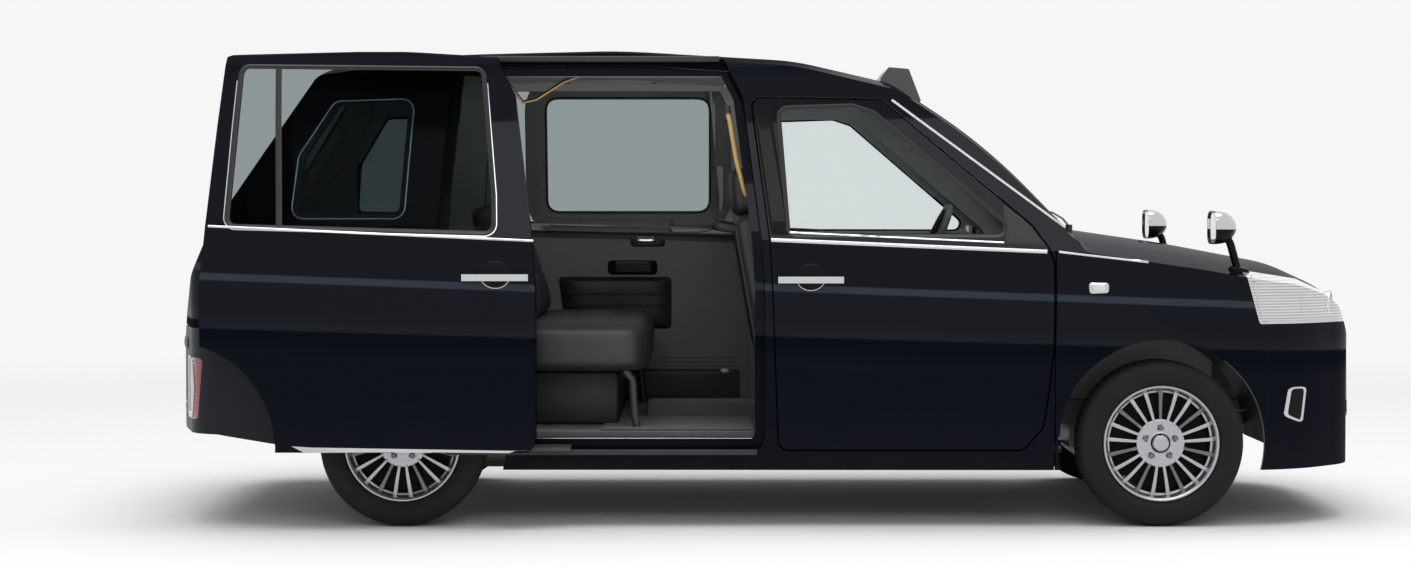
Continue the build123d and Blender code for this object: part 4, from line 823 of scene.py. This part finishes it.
noseSkin = skinOf("front_bumper", "grille", "headlamps", "bonnet", "fender_right", "fender_left")
ribbon("grille_frame", grown(hullOf("grille", "x"), -0.006), noseSkin, ahead, 0.022, 0.010, "chrome",
       closed=True, sink=0.003)
noseValues = {
    "lampLow": [(1.752, 0.741), (2.060, 0.741)], "lampRear": [(1.700, 0.905), (1.745, 0.748)],
    "projectors": ((2.005, 0.60, 0.800, 0.046), (1.900, 0.70, 0.812, 0.040)), "aim": 22,
    "fog": ((0.735, 0.50), (0.770, 0.50), (0.778, 0.40), (0.745, 0.375)), "fogRound": 0.012,
}
lampSkin = skinOf("headlamps")
for side, tag in bothSides:
    v = noseValues
    facing = sideRight if side < 0 else sideLeft
    ribbon("lamp_edge_low_" + tag, v["lampLow"], lampSkin, facing, 0.010, 0.006, "chrome")
    ribbon("lamp_edge_rear_" + tag, v["lampRear"], lampSkin, facing, 0.010, 0.006, "chrome")
    for k, (x, y, z, r) in enumerate(v["projectors"]):
        turn = Matrix.Rotation(math.radians(side * v["aim"] * (1 + k)), 4, "Z")
        put = Matrix.Translation((x, side * y, z)) @ turn @ Matrix.Rotation(-math.pi / 2, 4, "Z")
        profile = [(0.0, 0.030), (r * 0.35, 0.028), (r * 0.62, 0.018), (r * 0.70, 0.004), (r * 0.82, 0.006),
                   (r, 0.030), (r * 1.08, 0.031), (r * 1.08, 0.024), (r * 0.9, -0.010), (0.0, -0.012)]
        turned(f"lamp_projector_{tag}_{k}", profile, 48, put, "mirror_face")
    fog = rounded([(side * y, z) for y, z in v["fog"]], v["fogRound"])
    plate("fog_slot_" + tag, fog, noseSkin, ahead, 0.004, "gloss_black", step=0.01)
    ribbon("fog_line_" + tag, fog, noseSkin, ahead, 0.007, 0.006, "chrome", closed=True, step=0.01)


plateValues = {
    "wide": 0.330, "high": 0.165, "thick": 0.002, "boltUp": 0.062, "bolts": 0.105, "boltRadius": 0.008,
    "front": (2.1602, 0.533), "rear": (-2.2122, 0.880),
}


def blankPlate(name, sign, place, body):
    v = plateValues
    x, z = place
    near, far = sorted((x, x + sign * v["thick"]))
    wide, high = v["wide"] / 2, v["high"] / 2
    block(name, (near, -wide, z - high), (far, wide, z + high), "plate_white", body, bevel=0.0006,
          segments=2)
    for y in (-v["bolts"], v["bolts"]):
        bm = bmesh.new()
        made = bmesh.ops.create_cone(bm, cap_ends=True, segments=20, radius1=v["boltRadius"],
                                     radius2=v["boltRadius"] * 0.75, depth=v["thick"])["verts"]
        put = Matrix.Translation((x + sign * (v["thick"] + 0.0004), y, z + v["boltUp"]))
        bmesh.ops.transform(bm, matrix=put @ Matrix.Rotation(sign * math.pi / 2, 4, "Y"), verts=made)
        landed(bm, f"{name}_bolt_{'l' if y > 0 else 'r'}", "chrome", body)


blankPlate("plate_front", 1, plateValues["front"], "shell")
blankPlate("plate_rear", -1, plateValues["rear"], "tailgate")
print("front done")

# Rear: lamp frames, garnish, stop lamp

tailValues = {
    "lamp": ((0.645, 0.392), (0.645, 0.612), (0.735, 0.606), (0.750, 0.50), (0.735, 0.392)),
    "garnish": [(-0.44, 0.985), (0.44, 0.985)], "stop": [(-0.18, 1.632), (0.18, 1.632)],
    "step": [(-0.60, 0.655), (0.60, 0.655)],
    "reflector": ((0.47, 0.40), (0.55, 0.40), (0.55, 0.435), (0.47, 0.435)),
}
v = tailValues
tailSkin, bumperSkin = skinOf("tail_lamps", "rear_bumper"), skinOf("rear_bumper")
for side, tag in bothSides:
    outline = rounded([(side * y, z) for y, z in v["lamp"]], 0.02)
    ribbon("tail_lamp_line_" + tag, outline, tailSkin, behind, 0.009, 0.007, "chrome", closed=True)
ribbon("tail_garnish", v["garnish"], gateSkin, behind, 0.030, 0.012, "chrome", "tailgate")
ribbon("stop_lamp", v["stop"], skinOf("tailgate"), behind, 0.020, 0.010, "lamp_red", "tailgate")
ribbon("bumper_step_rear", v["step"], bumperSkin, behind, 0.045, 0.010, "black_plastic", sink=0.005)
for side, tag in bothSides:
    shape = rounded([(side * y, z) for y, z in v["reflector"]], 0.01)
    plate("reflector_" + tag, shape, bumperSkin, behind, 0.005, "lamp_red", step=0.01)
print("rear done")

# Door opening: upper channel, sill plate, lower rail

openingValues = {
    "channel": ((-1.195, -0.642, 1.690), (-0.225, -0.582, 1.712)), "sillZ": 0.3125, "railZ": 0.262,
}
v = openingValues
block("upper_channel", *v["channel"])
block("sill_plate", (-1.235, -0.754, v["sillZ"]), (-0.105, -0.712, v["sillZ"] + 0.004), "rim_alloy",
      bevel=0.0015)
for k in range(4):
    y = -0.748 + k * 0.010
    block(f"sill_rib_{k}", (-1.20, y, v["sillZ"] + 0.0035), (-0.14, y + 0.004, v["sillZ"] + 0.0055),
          bevel=0.0006, segments=2)
block("lower_rail", (-1.22, -0.838, v["railZ"]), (-0.09, -0.826, v["railZ"] + 0.020), bevel=0.002)
print("door opening done")


# Seats: crowned cushions with sewn channels

def cushion(name, size, place, lean, crown, seams=(), seamsAlong=(), exponent=7.0, cuts=(18, 26, 6),
            replaced=()):
    deep, half = 0.008, 0.011  # of a sewn channel
    bm = bmesh.new()
    bmesh.ops.create_cube(bm, size=2.0)
    for axis, count in enumerate(cuts):
        edges = [e for e in bm.edges if abs((e.verts[0].co - e.verts[1].co).normalized()[axis]) > 0.9]
        bmesh.ops.subdivide_edges(bm, edges=edges, cuts=count, use_grid_fill=True)
    hx, hy, hz = (s / 2 for s in size)
    for vert in bm.verts:
        a, b, c = vert.co
        reach = (abs(a) ** exponent + abs(b) ** exponent + abs(c) ** exponent) ** (1 / exponent)
        a, b, c = a / reach, b / reach, c / reach
        x, y, z = a * hx, b * hy, c * hz
        if c > 0:
            z += crown * (1 - a ** 4) * (1 - abs(b) ** 6)
            for seam in seams:
                z -= deep * math.exp(-(((y - seam) / half) ** 2)) * (1 - a ** 6)
            for seam in seamsAlong:
                z -= deep * math.exp(-(((x - seam) / half) ** 2)) * (1 - abs(b) ** 8)
        vert.co = (x, y, z)
    bmesh.ops.transform(bm, matrix=Matrix.Translation(place) @ Matrix.Rotation(lean, 4, "Y"),
                        verts=bm.verts)
    piece = landed(bm, name, "seat_leather", "shell", replaced, angle=60, levels=1)


def piping(name, size, place, lean):
    radius, drop, steps = 0.0035, 0.45, 72
    hx, hy, hz = (s / 2 for s in size)
    loop = []
    for k in range(steps):
        a = 2 * math.pi * k / steps
        c, s = math.cos(a), math.sin(a)
        x = math.copysign(abs(c) ** 0.28, c) * hx * 0.985
        y = math.copysign(abs(s) ** 0.28, s) * hy * 0.985
        loop.append((x, y, hz * drop))
    put = Matrix.Translation(place) @ Matrix.Rotation(lean, 4, "Y")
    tube(name, [put @ Vector(p) for p in loop], radius, "seat_leather", closed=True, around=6)


def piped(name, pipe, size, place, lean=0.0, **more):
    cushion(name, size, place, lean=lean, **more)
    piping(pipe, size, place, lean)


benchValues = {
    "cushion": (0.50, 1.27, 0.185), "cushionAt": (-0.735, 0, 0.6335),
    "back": (0.42, 1.27, 0.120), "backAt": (-1.030, 0, 0.915), "lean": 71,
    "box": ((-0.995, -0.418, 0.336), (-0.605, 0.418, 0.538)),
    "leg": [(-0.575, 0.575, 0.548), (-0.548, 0.575, 0.52), (-0.540, 0.575, 0.40), (-0.530, 0.575, 0.336)],
    "brace": [(-0.600, 0.42, 0.52), (-0.575, 0.50, 0.535), (-0.572, 0.575, 0.540)],
    "channels": (-0.42, -0.21, 0.0, 0.21, 0.42), "headrest": (0.10, 0.25, 0.085),
    "headrestAt": (-1.105, 0.42, 1.108),
}
v = benchValues
benchLean = math.radians(v["lean"])
piped("bench_cushion", "bench_piping", v["cushion"], v["cushionAt"], crown=0.012, seams=v["channels"],
      seamsAlong=(-0.05, 0.12), cuts=(22, 60, 8), replaced=["rear_bench"])
piped("bench_back", "bench_back_piping", v["back"], v["backAt"], benchLean, crown=0.016,
      seams=v["channels"], seamsAlong=(0.05,), cuts=(22, 60, 6))
block("bench_box", *v["box"], bevel=0.012)
for side, tag in ((-1, "r"), (1, "l")):
    for part, radius in (("leg", 0.015), ("brace", 0.012)):
        path = [(x, side * y, z) for x, y, z in v[part]]
        tube(f"bench_{part}_{tag}", path, radius, "cast_steel", around=12)
    x, y, z = v["headrestAt"]
    cushion("bench_headrest_" + tag, v["headrest"], (x, side * y, z), crown=0.006, lean=benchLean,
            exponent=4.0, cuts=(8, 12, 5))

seatValues = {
    "cushion": (0.50, 0.49, 0.172), "cushionAt": (0.205, 0.365, 0.538), "channels": (-0.15, 0.15),
    "back": (0.55, 0.49, 0.118), "backAt": (-0.066, 0.365, 0.862), "lean": 79,
    "headrest": (0.180, 0.25, 0.085), "headrestAt": (-0.138, 0.365, 1.215), "headLean": 85, "shellLean": -10,
    "bar": [(-0.158, -0.20, 1.075), (-0.225, -0.205, 1.085), (-0.243, -0.17, 1.088), (-0.243, 0.17, 1.088),
            (-0.225, 0.205, 1.085), (-0.158, 0.20, 1.075)],
}
v = seatValues
seatLean = math.radians(v["lean"])
for side, tag in bothSides:
    cushionAt, backAt, headAt = [(v[k][0], side * v[k][1], v[k][2])
                                 for k in ("cushionAt", "backAt", "headrestAt")]
    y = cushionAt[1]
    piped("seat_cushion_" + tag, "seat_piping_" + tag, v["cushion"], cushionAt, crown=0.014,
          seams=v["channels"], seamsAlong=(-0.02, 0.13), cuts=(20, 22, 7),
          replaced=["front_seats"] if side < 0 else ())
    piped("seat_back_" + tag, "seat_back_piping_" + tag, v["back"], backAt, seatLean, crown=0.014,
          seams=v["channels"], seamsAlong=(0.02,), cuts=(20, 22, 6))
    cushion("headrest_" + tag, v["headrest"], headAt, crown=0.008, lean=math.radians(v["headLean"]),
            exponent=4.0, cuts=(8, 12, 6))
    for post, dy in (("a", -0.06), ("b", 0.06)):
        tube(f"headrest_post_{tag}_{post}", [(-0.136, y + dy, 1.085), (-0.138, y + dy, 1.16)], 0.006,
             "chrome")
    block("seat_plinth_" + tag, (-0.055, y - 0.178, 0.336), (0.420, y + 0.178, 0.455), bevel=0.012)
    block("seat_shell_" + tag, (-0.128, y - 0.215, 0.60), (-0.112, y + 0.215, 1.08), bevel=0.006,
          turn=Matrix.Rotation(math.radians(v["shellLean"]), 4, "Y"))
    bar = rounded3([(x, y + dy, z) for x, dy, z in v["bar"]], 0.03)
    tube("seat_grip_" + tag, bar, 0.0165, around=14, step=0.012)
print("seats done")

# Cabin: grips, belts, far door trim, dashboard details, floor mats

cabinValues = {
    "grip": [(-0.196, -0.652, 1.500), (-0.190, -0.700, 1.480), (-0.165, -0.712, 1.330),
             (-0.134, -0.715, 1.212), (-0.122, -0.686, 1.192)],
    "loop": [(-1.02, -0.560, 1.640), (-0.98, -0.585, 1.585), (-0.95, -0.590, 1.548), (-0.90, -0.585, 1.560),
             (-0.80, -0.575, 1.625), (-0.72, -0.565, 1.655)],
    "edge": [(-1.02, -0.572, 1.634), (-0.98, -0.597, 1.579), (-0.95, -0.602, 1.541), (-0.90, -0.597, 1.553),
             (-0.80, -0.587, 1.618), (-0.72, -0.577, 1.648)],
    "belt": [(-0.085, 0.690, 1.36), (-0.075, 0.700, 1.0), (-0.060, 0.700, 0.60), (-0.050, 0.690, 0.40)],
}
v = cabinValues
tube("assist_grip", rounded3(v["grip"], 0.02), 0.0085, "grip_gold", around=14)
for k, (x, y, z) in enumerate((v["grip"][0], v["grip"][-1])):
    block(f"assist_grip_end_{k}", (x - 0.012, y - 0.020, z - 0.030), (x + 0.012, y + 0.030, z + 0.030),
          bevel=0.006)
tube("belt_loop", v["loop"], 0.010, "seat_leather", around=10, flat=0.35)
tube("belt_loop_edge", v["edge"], 0.0035, "grip_gold", around=8)
for side, tag in bothSides:
    tube("belt_front_" + tag, [(x, side * y, z) for x, y, z in v["belt"]], 0.022, "seat_leather", flat=0.1)
farSkin = skinOf("rear_door_left", "rear_glass_left")
farWindow = [(-0.948, 1.613), (-0.258, 1.613), (-0.258, 1.134), (-0.948, 1.134)]
farEdge = rounded(farWindow, 0.055)


def farRibbon(name, points, width, height, look, closed=False):
    ribbon(name, points, farSkin, insideLeft, width, height, look, "door_rear_left", closed)


farRibbon("far_window_frame", grown(farEdge, 0.045), 0.088, 0.010, "trim_grey", True)
farRibbon("far_window_edge", farEdge, 0.010, 0.014, "seal_rubber", True)
farRibbon("far_belt_line", [(-0.973, 1.085), (-0.245, 1.064)], 0.0065, 0.018, "plate_white")
farPieces = {  # rear, top, front, bottom, height, finish
    "far_arm_rest": (-0.900, 0.860, -0.420, 0.640, 0.030, "black_plastic"),
    "far_pull": (-0.690, 0.930, -0.480, 0.868, 0.010, "gloss_black"),
    "far_handle_cup": (-0.596, 1.045, -0.446, 0.987, 0.008, "black_plastic"),
    "far_handle": (-0.578, 1.028, -0.480, 1.006, 0.018, "chrome"),
    "far_step_lamp": (-0.214, 0.472, -0.176, 0.452, 0.014, "white_lens"),
    "far_kick": (-1.10, 0.470, -0.130, 0.330, 0.010, "black_plastic"),
}
for name, (rear, top, front, foot, height, look) in farPieces.items():
    low = rear + (0.030 if name == "far_arm_rest" else 0)  # the arm rest narrows downwards
    outline = rounded([(rear, top), (front, top), (front, foot), (low, foot)], 0.022)
    plate(name, outline, farSkin, insideLeft, height, look, "door_rear_left")
for k in range(3):
    z = 0.790 - k * 0.050
    farRibbon(f"far_rib_{k}", [(-0.860, z), (-0.460, z)], 0.010, 0.042, "black_plastic")
for k in range(3):
    z = 0.520 - k * 0.018
    farRibbon(f"far_low_rib_{k}", [(-1.05, z), (-0.15, z)], 0.006, 0.008, "trim_grey")
farRibbon("far_belt_trim", [(-1.15, 1.045), (-0.12, 1.020)], 0.026, 0.012, "black_plastic")
cabinBoxes = {
    "floor_mat_rear": ((-0.66, -0.66, 0.3355), (-0.10, 0.66, 0.3425), "floor_mat", 0.003, 3),
    "dash_hood": ((0.715, 0.215, 0.965), (0.86, 0.515, 1.030), "dash_plastic", 0.02, 5),
    "dash_screen": ((0.758, -0.120, 0.955), (0.775, 0.120, 1.085), "gloss_black", 0.006, 3),
    "fare_meter": ((0.740, -0.330, 0.985), (0.800, -0.170, 1.045), "black_plastic", 0.008, 3),
}
for name, (low, high, look, edge, segments) in cabinBoxes.items():
    block(name, low, high, look, bevel=edge, segments=segments)
tube("room_mirror", [(0.545, -0.11, 1.405), (0.552, 0.0, 1.410), (0.545, 0.11, 1.405)], 0.028, around=14)
tube("room_mirror_stalk", [(0.555, 0, 1.415), (0.60, 0, 1.455), (0.625, 0, 1.480)], 0.006)
print("cabin done")

# Roof sign: blank faces

signValues = {"half": 0.150, "from": 0.060, "to": 0.016, "round": 0.010}
v = signValues
signSkin, top = skinOf("roof_sign"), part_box("roof_sign")[1][2]
outline = [(-v["half"], top - v["from"]), (-v["half"], top - v["to"]), (v["half"], top - v["to"]),
           (v["half"], top - v["from"])]
for facing, name in ((ahead, "sign_face_front"), (behind, "sign_face_rear")):
    plate(name, rounded(outline, v["round"]), signSkin, facing, 0.002, "gloss_black")
print("roof done")

# Camera, floor and light

cameraValues = {"at": (-0.2765, -10.0, 1.175), "lens": 64.88, "sensor": 36.0, "down": 1.84, "reach": 200}
camera = bpy.data.objects.new("camera", bpy.data.cameras.new("camera"))
camera.data.sensor_width = cameraValues["sensor"]
camera.data.lens = cameraValues["lens"]
camera.data.clip_end = cameraValues["reach"]
camera.location = cameraValues["at"]
camera.rotation_euler = (math.radians(90 - cameraValues["down"]), 0, 0)
scene.collection.objects.link(camera)
scene.camera = camera

stageValues = {"floor": (0.93, 0.93, 0.93, 1), "sky": (0.92, 0.92, 0.92, 1), "near": 5.5, "far": 11.0,
               "radius": 11.5, "shade": 0.46, "sun": 1.46, "sunWide": 60}
floorLook = Look("floorPale")
spot = floorLook.node("TexCoord", out="Object")
away = floorLook.node("VectorMath", {"operation": "LENGTH"}, "Value", i0=spot)
gone = floorLook.node("MapRange", {"interpolation_type": "SMOOTHSTEP"}, i0=away, i1=stageValues["near"],
                      i2=stageValues["far"], i3=0.0, i4=1.0)
grey = floorLook.mixColor(floorLook.noise(0.6, 2), stageValues["floor"],
                          tuple(c * 0.99 for c in stageValues["floor"][:3]) + (1,))
matt = floorLook.node("BsdfDiffuse", Color=grey)
clear = floorLook.node("BsdfTransparent")
floorLook.close(floorLook.node("MixShader", i0=gone, i1=matt, i2=clear))
bm = bmesh.new()
bmesh.ops.create_circle(bm, cap_ends=True, segments=96, radius=stageValues["radius"])
floorMesh = bpy.data.meshes.new("floor")
bm.to_mesh(floorMesh)
bm.free()
floor = bpy.data.objects.new("floor", floorMesh)
floorMesh.materials.append(floorLook.material)
scene.collection.objects.link(floor)

lampValues = [
    ("overhead", (0.0, -0.3, 6.0), (0, 0, 0), (6.0, 3.0), 90, (1.0, 1.0, 1.0)),
    ("front_side", (0.5, -8.5, 4.6), (64, 0, 4), (7.0, 1.2), 80, (1.0, 1.0, 1.0)),
]
for name, place, turn, size, power, color in lampValues:
    data = bpy.data.lights.new(name, "AREA")
    data.shape = "RECTANGLE"
    data.size, data.size_y = size
    data.energy = power
    data.color = color
    lamp = bpy.data.objects.new(name, data)
    lamp.location = place
    lamp.rotation_euler = [math.radians(t) for t in turn]
    scene.collection.objects.link(lamp)

world = bpy.data.worlds.new("world")
world.use_nodes = True
scene.world = world
sky = world.node_tree.nodes["Background"]
sky.inputs["Color"].default_value = stageValues["sky"]
rays = world.node_tree.nodes.new("ShaderNodeLightPath")
seen = rays.outputs["Is Camera Ray"]
for ray in ("Is Glossy Ray", "Is Transmission Ray"):  # metal and glass show the pale background too
    most = world.node_tree.nodes.new("ShaderNodeMath")
    most.operation = "MAXIMUM"
    world.node_tree.links.new(seen, most.inputs[0])
    world.node_tree.links.new(rays.outputs[ray], most.inputs[1])
    seen = most.outputs[0]
level = world.node_tree.nodes.new("ShaderNodeMapRange")
level.inputs[3].default_value = stageValues["shade"]
world.node_tree.links.new(seen, level.inputs[0])
world.node_tree.links.new(level.outputs[0], sky.inputs["Strength"])
sunData = bpy.data.lights.new("sunSoft", "SUN")
sunData.energy = stageValues["sun"]
sunData.angle = math.radians(stageValues["sunWide"])
sun = bpy.data.objects.new("sunSoft", sunData)
sun.location = (0, 0, 8)
scene.collection.objects.link(sun)
scene.view_settings.view_transform = "Standard"
print("stage done")
